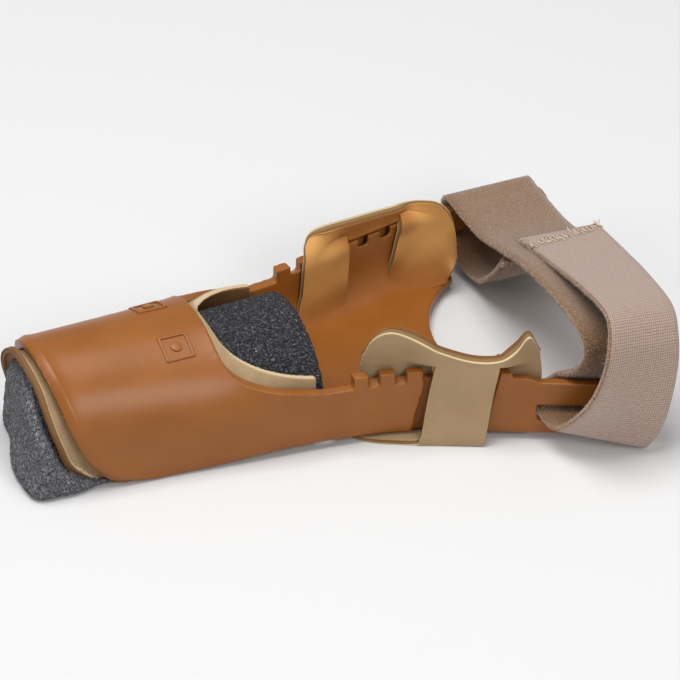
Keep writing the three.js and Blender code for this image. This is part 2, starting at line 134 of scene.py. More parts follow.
def join(pieces, name):
    """Make one named piece of several."""
    pick(pieces[0])
    for piece in pieces:
        piece.select_set(True)
    bpy.ops.object.join()
    joined = bpy.context.active_object
    joined.name = joined.data.name = name
    return joined


def cad_copy(node, name):
    """A merged copy of a CAD solid, free to be worked on."""
    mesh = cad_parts[node].data.copy()
    piece = bpy.data.objects.new(name, mesh)
    bpy.context.collection.objects.link(piece)
    mesh.name = name
    edit_whole(piece, bpy.ops.mesh.remove_doubles, threshold=0.001 * MM)
    return piece


def tell(piece):
    """Print a piece's triangles and size."""
    piece.data.calc_loop_triangles()
    print(piece.name, "triangles", len(piece.data.loop_triangles), "size mm", in_mm(piece.dimensions))


def dress(piece, material=None, angle=None):
    """Shade a piece smooth, give it a material unless it has its own, and tell its size."""
    pick(piece)
    if angle is None:
        bpy.ops.object.shade_smooth()
    else:
        bpy.ops.object.shade_smooth_by_angle(angle=math.radians(angle))
    if material:
        piece.data.materials.clear()
        piece.data.materials.append(material)
    tell(piece)


print("CAD solids:", sorted(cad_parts))

# %% [markdown]
# Smoothing takes the facets off a moulded skin, but it would melt the edges too. The edges could be creased
# by hand. Here normals are averaged over a few rounds of neighbours: on even skin the average stays long,
# along an edge it gets short, and so a vertex group finds the even skin by itself.

# %% Even skin
EVEN_SKIN = (0.955, 0.995)
SKIN_ROUNDS, SKIN_STEPS = 6, 10


def vertex_array(piece, key):
    """One vector of every vertex, such as its place or normal, as an array of rows."""
    values = np.empty(3 * len(piece.data.vertices))
    piece.data.vertices.foreach_get(key, values)
    return values.reshape(-1, 3)


def even_skin(piece):
    """A vertex group that is full on even skin and empty along edges."""
    mesh = piece.data
    count = len(mesh.vertices)
    ends = np.empty(2 * len(mesh.edges), int)
    mesh.edges.foreach_get("vertices", ends)
    ends = ends.reshape(-1, 2)
    mean = vertex_array(piece, "normal")
    near = np.ones(count) + np.bincount(ends.ravel(), minlength=count)
    for _ in range(SKIN_ROUNDS):
        total = mean.copy()
        for axis in range(3):
            total[:, axis] += np.bincount(ends[:, 0], mean[ends[:, 1], axis], count)
            total[:, axis] += np.bincount(ends[:, 1], mean[ends[:, 0], axis], count)
        mean = total / near[:, None]
    low, high = EVEN_SKIN
    even = np.clip((np.linalg.norm(mean, axis=1) - low) / (high - low), 0.0, 1.0)
    group = piece.vertex_groups.new(name="even_skin")
    for step in range(1, SKIN_STEPS + 1):
        chosen = np.flatnonzero(np.round(SKIN_STEPS * even) == step)
        group.add(chosen.tolist(), step / SKIN_STEPS, "REPLACE")
    print(piece.name, "share of even skin:", round(float(even.mean()), 2))
    return group.name


print("even skin: mean normal", EVEN_SKIN, "after", SKIN_ROUNDS, "rounds")

# %% [markdown]
# ## Materials
# Colours are read as sRGB hex and turned into the linear values that the shaders use, in one place.
# One helper adds a node, sets its options and sockets, and links it. The scale of a pattern is written as
# cells per millimetre, because that can be checked against the real thing.

# %% Material tools


def colour(code):
    """Linear colour from an sRGB hex code."""
    parts = [int(code[i:i + 2], 16) / 255 for i in (1, 3, 5)]
    return [p / 12.92 if p <= 0.04045 else ((p + 0.055) / 1.055) ** 2.4 for p in parts] + [1.0]


def add(tree, kind, links=None, stops=(), **settings):
    """Add a shader node: links maps sockets to outputs or numbers, stops are the colours of a ramp, and
    settings go to options or sockets by their names."""
    node = tree.nodes.new("ShaderNode" + kind)
    for key, value in settings.items():
        if hasattr(node, key):
            setattr(node, key, value)
        else:
            node.inputs[key.replace("_", " ")].default_value = value
    for socket, source in (links or {}).items():
        if isinstance(source, float):
            node.inputs[socket].default_value = source
        else:
            tree.links.new(source, node.inputs[socket])
    while stops and len(node.color_ramp.elements) < len(stops):
        node.color_ramp.elements.new(1.0)
    for i, (position, code) in enumerate(stops):
        node.color_ramp.elements[i].position = position
        node.color_ramp.elements[i].color = colour(code)
    return node


def new_material(name):
    """An empty material and its node tree."""
    material = bpy.data.materials.new(name)
    material.use_nodes = True
    tree = material.node_tree
    tree.nodes.clear()
    return material, tree


def surface(tree, base, bump, rough, strength=1.0, distance=0.1 * MM, **settings):
    """End a tree: base colour, bump height, and roughness as an output or a number."""
    height = add(tree, "Bump", {"Height": bump}, Strength=strength, Distance=distance)
    links = {"Normal": height.outputs["Normal"], "Base Color": base, "Roughness": rough}
    shader = add(tree, "BsdfPrincipled", links, **settings)
    add(tree, "OutputMaterial", {"Surface": shader.outputs["BSDF"]})


print("middle grey #808080 in linear light:", round(colour("#808080")[0], 3))

# %% [markdown]
# The shell is polypropylene, injection-moulded in caramel brown. The satin finish of the mould gives a very
# fine grain, faint flow clouds a centimetre wide and a soft, broad highlight. Noise on Object coordinates
# gives both, so nothing has to be unwrapped.

# %% Shell plastic
CARAMEL = [(0.3, "#8A511B"), (0.7, "#935821")]
shell_plastic, tree = new_material("Polypropylene_satin_caramel")
point = add(tree, "TexCoord").outputs["Object"]
# Clouds 11 mm wide. The real grain is finer than 0.1 mm; it is drawn at 0.45 mm so that it shows.
clouds = add(tree, "TexNoise", {"Vector": point}, Scale=0.09 / MM, Detail=3.0).outputs["Fac"]
grain = add(tree, "TexNoise", {"Vector": point}, Scale=2.2 / MM, Detail=2.0).outputs["Fac"]
base = add(tree, "ValToRGB", {"Fac": clouds}, CARAMEL).outputs["Color"]
sheen = add(tree, "MapRange", {"Value": clouds}, To_Min=0.33, To_Max=0.41).outputs["Result"]
surface(tree, base, grain, sheen, strength=0.25, distance=0.05 * MM, Specular_IOR_Level=0.38)
print(shell_plastic.name)

# %% [markdown]
# The liner is a thin sheet of soft foam with a dull beige skin. Where its edge is cut, the cream foam shows
# as a pale line. Its inner side, in the shade of the hood, is painted brown: painted shade. The attribute
# "layer" runs from 0 on the skin to 1 on the inner side, so one ramp can colour all three without an image.

# %% Liner sheet
MIX_A, MIX_B, MIX_OUT = 6, 7, 2    # the colour sockets of a Mix node
liner_sheet, tree = new_material("Foam_sheet_cream")
point = add(tree, "TexCoord").outputs["Object"]
# Clouds 3.3 mm wide, and foam cells of 0.33 mm that only roughen the face.
clouds = add(tree, "TexNoise", {"Vector": point}, Scale=0.3 / MM, Detail=4.0).outputs["Fac"]
cells = add(tree, "TexNoise", {"Vector": point}, Scale=3.0 / MM, Detail=2.0).outputs["Fac"]
skin = add(tree, "ValToRGB", {"Fac": clouds}, [(0.3, "#9E8461"), (0.7, "#AC9370")]).outputs["Color"]
layer = add(tree, "Attribute", attribute_name="layer").outputs["Fac"]
# The brown stop is painted shade on the liner's inner side.
edge_and_shade_stops = [(0.1, "#CDBB9A"), (0.3, "#C4AE88"), (0.45, "#7A5632")]
edge = add(tree, "ValToRGB", {"Fac": layer}, edge_and_shade_stops).outputs["Color"]
on_edge = add(tree, "MapRange", {"Value": layer}, From_Min=0.08, From_Max=0.16).outputs["Result"]
base = add(tree, "Mix", {"Factor": on_edge, MIX_A: skin, MIX_B: edge}, data_type="RGBA").outputs[MIX_OUT]
surface(tree, base, cells, 0.68, strength=0.3, Specular_IOR_Level=0.3)
print(liner_sheet.name)

# %% [markdown]
# The plug is open-cell foam in charcoal: light grey struts round dark pores. Its front is painted paler, a
# painted highlight where the cut face catches the light. A Voronoi pattern has the shape of foam cells, and
# a noise taken off it breaks the struts up.

# %% Charcoal foam
FOAM_DARK_X, FOAM_PAINTED_LIGHT_X = -30.0 * MM, -60.0 * MM
foam, tree = new_material("Open_cell_foam_charcoal")
point = add(tree, "TexCoord").outputs["Object"]
# Pores 0.53 mm wide and a noise of 0.59 mm.
pores = add(tree, "TexVoronoi", {"Vector": point}, feature="DISTANCE_TO_EDGE",
            Scale=1.9 / MM).outputs["Distance"]
fine = add(tree, "TexNoise", {"Vector": point}, Scale=1.7 / MM, Detail=3.0).outputs["Fac"]
mixed = add(tree, "Math", {0: pores, 1: fine}, operation="SUBTRACT").outputs["Value"]
level = add(tree, "MapRange", {"Value": mixed}, From_Min=-0.75, From_Max=0.05).outputs["Result"]
dark_stops = [(0.0, "#98989E"), (0.3, "#48474B"), (0.75, "#1C1C1E")]
painted_light_stops = [(0.0, "#C6C6CC"), (0.3, "#7C7B80"), (0.75, "#3A3A3C")]
dark, pale = (add(tree, "ValToRGB", {"Fac": level}, stops).outputs["Color"]
              for stops in (dark_stops, painted_light_stops))
# Painted highlight: towards the front the plug is mixed into the paler ramp, as if lit.
along = add(tree, "SeparateXYZ", {"Vector": point}).outputs["X"]
front = add(tree, "MapRange", {"Value": along}, From_Min=FOAM_DARK_X,
            From_Max=FOAM_PAINTED_LIGHT_X).outputs["Result"]
base = add(tree, "Mix", {"Factor": front, MIX_A: dark, MIX_B: pale}, data_type="RGBA").outputs[MIX_OUT]
depth = add(tree, "Math", {0: 0.5, 1: level}, operation="SUBTRACT").outputs["Value"]
surface(tree, base, depth, 0.95, strength=0.9, distance=0.6 * MM, Specular_IOR_Level=0.2)
print(foam.name)

# %% [markdown]
# The pads are a laminate: a beige coated cloth outside, a cream backing that shows as a light line along
# every cut edge, and a tan gel layer inside. The attribute "layer" runs from 0 on the skin to 1 on the gel
# face. "padded" is 1 where there is gel. A third attribute mixes the gel towards the shell's brown: painted
# shade on the band beside the tab and on the tab's face seen through the notches, and a fade into the
# shell's brown at the wings' feet.

# %% Pad laminate
pad_sheet, tree = new_material("Laminate_beige_cloth_tan_gel")
point = add(tree, "TexCoord").outputs["Object"]
layer, padded, shade_and_floor_blend = (add(tree, "Attribute", attribute_name=name).outputs["Fac"]
                          for name in ("layer", "padded", "shade_and_floor_blend"))
# Clouds 8 mm wide, and the cloth's coating drawn at 0.38 mm so that it shows.
clouds = add(tree, "TexNoise", {"Vector": point}, Scale=0.12 / MM, Detail=3.0).outputs["Fac"]
grain = add(tree, "TexNoise", {"Vector": point}, Scale=2.6 / MM, Detail=2.0).outputs["Fac"]
beige_stops = [(0.3, "#9A8160"), (0.7, "#A68B6A")]
gel_stops = [(0.3, "#C08A4C"), (0.7, "#CD9858")]
skin, gel, brown = (add(tree, "ValToRGB", {"Fac": clouds}, stops).outputs["Color"]
                    for stops in (beige_stops, gel_stops, CARAMEL))
edge = add(tree, "ValToRGB", {"Fac": layer}, [(0.0, "#CFBD96"), (0.22, "#8B6C46"), (0.6, "#76542F")])
edge.color_ramp.interpolation = "CONSTANT"
on_edge, on_inside = (add(tree, "Math", {0: layer, 1: above}, operation="GREATER_THAN").outputs["Value"]
                      for above in (0.03, 0.97))
# Painted shade: the gel is mixed towards the shell's brown, also as a fade at the wings' feet.
gel_shade_blend = add(tree, "Mix", {"Factor": shade_and_floor_blend, MIX_A: gel, MIX_B: brown}, data_type="RGBA")
inside = add(tree, "Mix", {"Factor": padded, MIX_A: skin, MIX_B: gel_shade_blend.outputs[MIX_OUT]}, data_type="RGBA")
line = add(tree, "Mix", {"Factor": on_edge, MIX_A: skin, MIX_B: edge.outputs["Color"]}, data_type="RGBA")
base = add(tree, "Mix", {"Factor": on_inside, MIX_A: line.outputs[MIX_OUT],
                         MIX_B: inside.outputs[MIX_OUT]}, data_type="RGBA")
surface(tree, base.outputs[MIX_OUT], grain, 0.7, strength=0.25, distance=0.06 * MM, Specular_IOR_Level=0.22)
print(pad_sheet.name)

# %% [markdown]
# The strap is hook-and-loop tape: brown loop pile on one face, a pale narrow weave on the other. Pile gives
# a dull, tufted face with some sheen, the weave fine ribs that are worn in places. The tape's own UV map is
# turned into millimetres along and across it, so the pattern bends with the tape.

# %% Tape faces
TAPE_WIDTH = 20.5
TAPE_LENGTH = 260.0
RIB_SCALE = 0.48    # a wave repeats every pi / 10 / scale, here 0.65 mm; the real ribs are half as wide


def tape_point(tree):
    """The UV map of the tape, in mm."""
    uv = add(tree, "TexCoord").outputs["UV"]
    return add(tree, "Mapping", {"Vector": uv}, Scale=(TAPE_WIDTH, TAPE_LENGTH, 1.0)).outputs["Vector"]


strap_pile, tree = new_material("Hook_and_loop_tape_pile_brown")
point = tape_point(tree)
# Tufts and loops about 0.3 mm wide.
tufts = add(tree, "TexNoise", {"Vector": point}, Scale=3.6, Detail=5.0, Roughness=0.7).outputs["Fac"]
loops = add(tree, "TexVoronoi", {"Vector": point}, Scale=3.4).outputs["Distance"]
pile = add(tree, "Math", {0: tufts, 1: loops}, operation="SUBTRACT").outputs["Value"]
pile_stops = [(0.0, "#7A583B"), (0.35, "#9A7856"), (0.7, "#B3926E")]
base = add(tree, "ValToRGB", {"Fac": pile}, pile_stops).outputs["Color"]
surface(tree, base, pile, 0.9, strength=0.6, distance=0.3 * MM, Sheen_Weight=0.5, Specular_IOR_Level=0.2)

strap_weave, tree = new_material("Hook_and_loop_tape_weave_pale")
point = tape_point(tree)
weft, warp = (add(tree, "TexWave", {"Vector": point}, bands_direction=axis, Scale=RIB_SCALE,
                  Distortion=0.6).outputs["Fac"] for axis in ("Y", "X"))
weave = add(tree, "Math", {0: weft, 1: warp}, operation="MULTIPLY").outputs["Value"]
# Worn patches a millimetre wide.
worn = add(tree, "TexNoise", {"Vector": point}, Scale=0.9, Detail=5.0).outputs["Fac"]
faint = add(tree, "MapRange", {"Value": worn}, To_Min=0.1, To_Max=0.55).outputs["Result"]
both = add(tree, "Math", {0: weave, 1: faint}, operation="ADD").outputs["Value"]
weave_stops = [(0.25, "#94796A"), (0.6, "#AA9184"), (1.0, "#BBA79B")]
base = add(tree, "ValToRGB", {"Fac": both}, weave_stops).outputs["Color"]
surface(tree, base, weave, 0.85, strength=0.6, distance=0.25 * MM, Sheen_Weight=0.3, Specular_IOR_Level=0.2)
print(strap_pile.name, strap_weave.name)

# %% [markdown]
# The ends of the tape are sewn with pale polyester thread, which is smooth and slightly shiny, and the pile
# sheds loose tan fibres, which are dull. Both are too thin to show a pattern, so a little noise is enough
# to keep one thread from looking like the next.

# %% Thread and fibre
thread, tree = new_material("Polyester_thread_pale")
point = add(tree, "TexCoord").outputs["Object"]
twist = add(tree, "TexNoise", {"Vector": point}, Scale=2.5 / MM).outputs["Fac"]    # twist of 0.4 mm
base = add(tree, "ValToRGB", {"Fac": twist}, [(0.3, "#C0A993"), (0.7, "#DCCBB9")]).outputs["Color"]
surface(tree, base, twist, 0.7, strength=0.4)

fibre, tree = new_material("Loose_fibre_tan")
point = add(tree, "TexCoord").outputs["Object"]
tint = add(tree, "TexNoise", {"Vector": point}, Scale=0.4 / MM).outputs["Fac"]    # tufts of 2.5 mm
base = add(tree, "ValToRGB", {"Fac": tint}, [(0.3, "#A58A6E"), (0.7, "#CDB8A2")]).outputs["Color"]
surface(tree, base, tint, 0.8, strength=0.2, Sheen_Weight=0.3)
print(thread.name, fibre.name)

# %% [markdown]
# ## Hood rim
# The front rim of the hood and the liner in it run up to 3 mm off the plain curve of the CAD. The edges
# could be sculpted. Here one table for each gives the shift along x at each height, and all vertices near
# the rim are moved by it at once, fading out behind.

# %% Hood rim
# The CAD's rim as (z, x), and the shifts of the hood and the liner as (z, shift).
RIM_LINE = [(1.6, -53.0), (3, -57.5), (6, -61.5), (10, -64.7), (14, -67.0), (18, -68.7), (22, -70.1),
            (29, -72.0)]
RIM_SHIFT = [(4, 0.0), (9, -0.3), (13.8, 0.4), (17.5, 0.85), (21, 1.3), (24, 1.4), (29, 1.5)]
LINER_SHIFT = [(1.6, 0.6), (4, -0.8), (7.6, -1.6), (12.4, -0.6), (16.5, 0.1), (20, 0.75), (23, 1.5),
               (26, 1.9)]
LINER_PROUD = 2.4    # how far the liner stands out of the hood
SKIVE = 1.4    # length of the liner's thinned edge, and how far it is moved out for it
RIM_FADE = (1.0, 15.0)


def look_up_all(rows, values):
    """look_up for an array, by way of a fine table."""
    fine = np.linspace(rows[0][0], rows[-1][0], 200)
    return np.interp(values, fine, [look_up(rows, v) for v in fine])


def behind_rim(piece):
    """How far each vertex lies behind the CAD's rim line, in mm along x, and the mm points themselves."""
    points = (vertex_array(piece, "co") - np.array(ZERO)) / MM
    return points[:, 0] - look_up_all(RIM_LINE, points[:, 2]), points


def set_points(piece, points):
    """Put the vertices back at their new places."""
    piece.data.vertices.foreach_set("co", (points * MM + np.array(ZERO)).ravel())
    piece.data.update()


def shift_rim(piece, table, ahead=None, gap=0.0):
    """Move the front along x; in front of the liner the shift fades out over so many mm."""
    past, points = behind_rim(piece)
    share = 1.0 - smoothstep(past, *RIM_FADE)
    if ahead:
        share *= 1.0 - smoothstep(-past - LINER_PROUD, 0.5, ahead)
    points[:, 0] += share * (look_up_all(table, points[:, 2]) - gap)
    set_points(piece, points)


print("hood rim moves, mm:", [shift for _, shift in RIM_SHIFT])
print("liner edge moves, mm:", [round(shift - SKIVE, 2) for _, shift in LINER_SHIFT])

# %% [markdown]
# The lower edges of the hood come down to the floor at the toe end. As with the rim, a table along x says
# how far the edge is let down; the skin above follows less and less. Another helper tells the outer skin
# from the cut edge and the inner face, by comparing each normal with the way out from the hood's axis.

# %% Hood foot
FOOT_DROP = [(-60, 1.45), (-45, 1.45), (-37, 1.35), (-30, 0.95), (-25, 0.5), (-18, 0.0)]
FOOT_FADE = (1.6, 12.0)
FLOOR_GAP = 0.1
HOOD_AXIS = 8.0    # height of the hood's axis


def drop_foot(piece):
    """Let the hood's lower edges down towards the floor."""
    points = behind_rim(piece)[1]
    points[:, 2] -= look_up_all(FOOT_DROP, points[:, 0]) * (1.0 - smoothstep(points[:, 2], *FOOT_FADE))
    points[:, 2] = np.maximum(points[:, 2], FLOOR_GAP)
    set_points(piece, points)


def facing_out(piece, points):
    """1 on the outer skin of the hood, 0 on a cut edge, -1 on the inner face; and the ways out."""
    out = np.column_stack([np.zeros(len(points)), points[:, 1], points[:, 2] - HOOD_AXIS])
    out /= np.linalg.norm(out, axis=1)[:, None] + 1e-9
    return (vertex_array(piece, "normal") * out).sum(axis=1), out


print("foot drop, mm:", FOOT_DROP[0][1], "down to", FOOT_DROP[-1][1])

# %% [markdown]
# ## Shell
# The shell is one injection-moulded piece, so all its edges are softly rounded. Bevelling a CAD solid with
# this many cut-outs often fails. Its copy is remeshed into small even faces instead, and a light smoothing
# then rounds every edge alike.

# %% Shell
shell = cad_copy("shell", "shell_moulding")
modify(shell, "REMESH", mode="VOXEL", voxel_size=0.3 * MM)
modify(shell, "SMOOTH", factor=0.5, iterations=8)
even = even_skin(shell)

# %% [markdown]
# The CAD has two raised squares on the hood that are too fine for this mesh and lie too far forward. A
# smooth patch is fitted to the ring of skin round each square, and the vertices inside the ring are laid on
# it. The even skin is then smoothed strongly, so that no facet shows.

# %% Hood skin
OLD_MARK, OLD_MARK_LEAN = (-43.6, 11.0, 26.2), 27.0
PATCH_REACH, PATCH_RING, PATCH_BLEND = 12.0, 8.0, (7.2, 9.4)
FACING_UP, MARK_REACH, MARK_FLOOR = 0.3, 6.5, -1.8
for side in (-1, 1):
    level = Matrix.Rotation(side * math.radians(OLD_MARK_LEAN), 3, "X")
    spot = place(OLD_MARK[0], side * OLD_MARK[1], OLD_MARK[2])
    near_by = [(v, level @ (v.co - spot) / MM) for v in shell.data.vertices
               if (v.co - spot).length < PATCH_REACH * MM]
    chosen = [(v, p) for v, p in near_by
              if v.normal.z > FACING_UP or (p.length < MARK_REACH and p.z > MARK_FLOOR)]
    radius = np.array([math.hypot(p.x, p.y) for _, p in chosen])
    terms = np.array([(1, p.x, p.y, p.x ** 2, p.x * p.y, p.y ** 2, p.y ** 3, p.x * p.y ** 2,
                       p.y ** 4, p.y ** 5) for _, p in chosen])
    height = np.array([p.z for _, p in chosen])
    ring = radius > PATCH_RING
    fit = terms @ np.linalg.lstsq(terms[ring], height[ring], rcond=None)[0]
    print("hood skin fit, mm:", round(float(abs(fit - height)[ring].max()), 3))
    for (vertex, p), r, h in zip(chosen, radius, fit):
        p.z += (h - p.z) * (1.0 - smoothstep(r, *PATCH_BLEND))
        vertex.co = spot + level.transposed() @ p * MM
modify(shell, "SMOOTH", factor=0.5, iterations=160, vertex_group=even)

# %% [markdown]
# The hood's front edge is rolled: the skin dips at the edge and swells a little behind it. The roll is a
# height over the distance from the rim, measured square to it, and is pushed out along the way out of the
# hood. Then the rim and the foot take their real course, and the mesh is thinned.

# %% Rolled rim
# Height of the roll at so many mm behind the rim.
RIM_ROLL = [(0, -0.7), (1, -0.1), (2, 0.25), (3, 0.12), (4.5, 0.0)]
STEP = 0.5
heights = np.arange(0.0, 32.0, STEP)
past, points = behind_rim(shell)
slope = np.gradient(look_up_all(RIM_LINE, heights), STEP)
steep = np.interp(points[:, 2], heights, slope)
facing, out = facing_out(shell, points)
roll = look_up_all(RIM_ROLL, past / np.sqrt(1.0 + steep ** 2)) * smoothstep(facing, 0.2, 0.7)
set_points(shell, points + out * roll[:, None])
shift_rim(shell, RIM_SHIFT)
drop_foot(shell)
modify(shell, "DECIMATE", ratio=0.42)
dress(shell, shell_plastic)

# %% [markdown]
# Each raised square on the hood is a thin frame with a plain round boss in it. It could be cut into the hood
# with a boolean, which would need a far finer mesh there. A grid with its middle taken out and a small disc
# are wrapped onto the hood instead, thickened outwards and bevelled.

# %% Hood marks
MARK_X, MARK_Y, MARK_Z, MARK_LEAN = -38.5, 8.7, 27.5, 24.0
MARK_SIZE, MARK_OPEN, BOSS_RADIUS = 7.0, 0.38, 1.3
MARK_SUNK, MARK_HIGH, MARK_BEVEL = 0.05, 0.42, 0.12


def wrap_mark(piece):
    """Lay a flat piece on the hood and give it its relief."""
    bpy.ops.object.transform_apply(location=True, rotation=True, scale=True)
    modify(piece, "SHRINKWRAP", target=shell, wrap_method="NEAREST_SURFACEPOINT", offset=-MARK_SUNK * MM)
    modify(piece, "SOLIDIFY", thickness=MARK_HIGH * MM, offset=1.0)
    modify(piece, "BEVEL", width=MARK_BEVEL * MM, segments=2, limit_method="ANGLE",
           angle_limit=math.radians(40))


marks = []
for side in (-1, 1):
    seat = dict(location=place(MARK_X, side * MARK_Y, MARK_Z),
                rotation=(math.radians(-side * MARK_LEAN), 0, 0))
    bpy.ops.mesh.primitive_grid_add(x_subdivisions=10, y_subdivisions=10, size=MARK_SIZE * MM, **seat)
    square = bpy.context.active_object
    bpy.ops.object.mode_set(mode="EDIT")
    bm = bmesh.from_edit_mesh(square.data)
    for face in bm.faces:
        face.select = max(abs(v) for v in face.calc_center_median()) < MARK_OPEN * MARK_SIZE * MM
    bmesh.update_edit_mesh(square.data)
    bpy.ops.mesh.delete(type="FACE")
    bpy.ops.object.mode_set(mode="OBJECT")
    wrap_mark(square)
    bpy.ops.mesh.primitive_circle_add(vertices=24, radius=BOSS_RADIUS * MM, fill_type="TRIFAN", **seat)
    boss = bpy.context.active_object
    wrap_mark(boss)
    marks += [square, boss]
hood_marks = join(marks, "hood_marks")
dress(hood_marks, shell_plastic, angle=40)

# %% [markdown]
# ## Liner and foam
# The liner is a soft sheet that is bent into the hood and stands out of it at the front. Its copy is
# remeshed and smoothed as the shell is, with finer faces, because its edge is thin. The front edge is
# skived, which means cut slanting to a thin lip, and flares out of the hood, most on the far side.

# %% Liner
FLARE, FAR_FLARE, FLARE_FADE, FAR_SIDE = 1.0, 0.7, (0.8, LINER_PROUD + 0.4), (-4.0, 4.0)
LIP_THINNED, CUT_SHOWS = 0.7, SKIVE + 0.6
liner = cad_copy("toe_liner", "toe_liner_sheet")
modify(liner, "REMESH", mode="VOXEL", voxel_size=0.26 * MM)
modify(liner, "SMOOTH", factor=0.5, iterations=3)
modify(liner, "SMOOTH", factor=0.5, iterations=60, vertex_group=even_skin(liner))
modify(liner, "DECIMATE", ratio=0.68)
past, points = behind_rim(liner)
facing, out = facing_out(liner, points)
from_edge = past + LINER_PROUD
skived = np.clip(SKIVE - from_edge, 0.0, SKIVE) * smoothstep(facing, 0.0, 0.5)
flare = FLARE + FAR_FLARE * smoothstep(points[:, 1], *FAR_SIDE)
flare *= 1.0 - smoothstep(from_edge, *FLARE_FADE)
set_points(liner, points + (flare - LIP_THINNED * skived)[:, None] * out)
# Painted shade: the inner face gets layer 1, the brown end of the ramp.
cut = np.maximum((1.0 - facing) / 2.0, np.clip(CUT_SHOWS - from_edge, 0.0, 1.0))
layer = liner.data.attributes.new("layer", "FLOAT", "POINT")
layer.data.foreach_set("value", cut)
shift_rim(liner, LINER_SHIFT, gap=SKIVE)
drop_foot(liner)
dress(liner, liner_sheet)

# %% [markdown]
# The foam plug is a block that is squeezed into the hood. Its front slopes back towards the far side, and
# its near lower corner bulges out past the liner. It is pushed into that shape by place. Then a fine noise
# moves its skin in and out, so that its outline is as rough as cut open-cell foam.

# %% Foam plug
FRONT_SLOPE, FRONT_OUT, FOOT_OUT, CORNER_OUT = 6.6, 0.8, 1.5, 1.8
plug = cad_copy("toe_foam", "toe_foam_plug")
modify(plug, "REMESH", mode="VOXEL", voxel_size=0.42 * MM)
modify(plug, "SMOOTH", factor=0.5, iterations=60)
shift_rim(plug, LINER_SHIFT, ahead=7.0, gap=SKIVE)
# Each smoothstep marks off a zone, in mm ahead of the drawing's zero, across or up.
for vertex in plug.data.vertices:
    x, y, z = (vertex.co - ZERO) / MM
    front = smoothstep(-x, 48.0, 74.0)
    foot = smoothstep(-y, -8.0, 13.0) + 1.0 - smoothstep(abs(y + 3.0), 0.0, 13.0)
    foot *= 1.0 - smoothstep(z, 2.0, 11.0)
    slope = FRONT_SLOPE * smoothstep(y, -20.0, 24.0) * (0.65 + 0.35 * z / 24.0)
    vertex.co.x += front * (slope - FRONT_OUT - FOOT_OUT * foot) * MM
    corner = smoothstep(-x, 57.0, 66.0) * smoothstep(-y, 6.0, 17.0) * (1.0 - smoothstep(z, 4.0, 18.0))
    vertex.co.y -= CORNER_OUT * corner * MM
cells = bpy.data.textures.new("foam_cells", "CLOUDS")
cells.noise_scale = 0.8 * MM
cells.noise_depth = 1
modify(plug, "DISPLACE", texture=cells, texture_coords="LOCAL", strength=0.6 * MM, mid_level=0.68)
for vertex in plug.data.vertices:
    vertex.co.z = max(vertex.co.z, 0.0)
dress(plug, foam)

# %% [markdown]
# ## Pad sling
# The real sling is die-cut flat, with two slits at each side, then bent: the wings go down inside the
# walls, the tabs go down outside and meet under the floor. A cloth simulation would lose the outline, so
# each side is a grid that is bent by tables. Its columns run along the wall, its rows down from the top.

# %% Pad tables
WALL, FLOOR_FILLET, FLOOR_TOP, PAD_CLEAR = 2.6, 6.0, 3.6, 0.6
LIP_THICK, SHEET_THICK, TAB_SLANT = 3.4, 1.3, -4.4
# The walls' outer faces: x, then y of the near and of the far wall.
OUTER_FACE = [(-16, 22.5, 22.5), (-6, 23.4, 23.4), (4, 24.9, 24.9), (14, 27.8, 27.0), (30, 35.0, 30.6),
              (38, 38.8, 33.0), (47, 43.1, 34.0), (72, 54.9, 34.0)]
# A tab's course: inset from the outer face, height, and how much wider the tab is there.
TAB_COURSE = [(-0.9, 20.0, 0.0), (-0.9, 18.0, 0.0), (-0.8, 13.0, 0.0), (-1.2, 7.5, 0.0),
              (-1.7, 3.0, 0.0), (-1.6, 1.0, 0.3), (-0.9, 0.0, 0.9), (5.5, 0.0, 12.0), (14.0, 0.0, 13.0)]
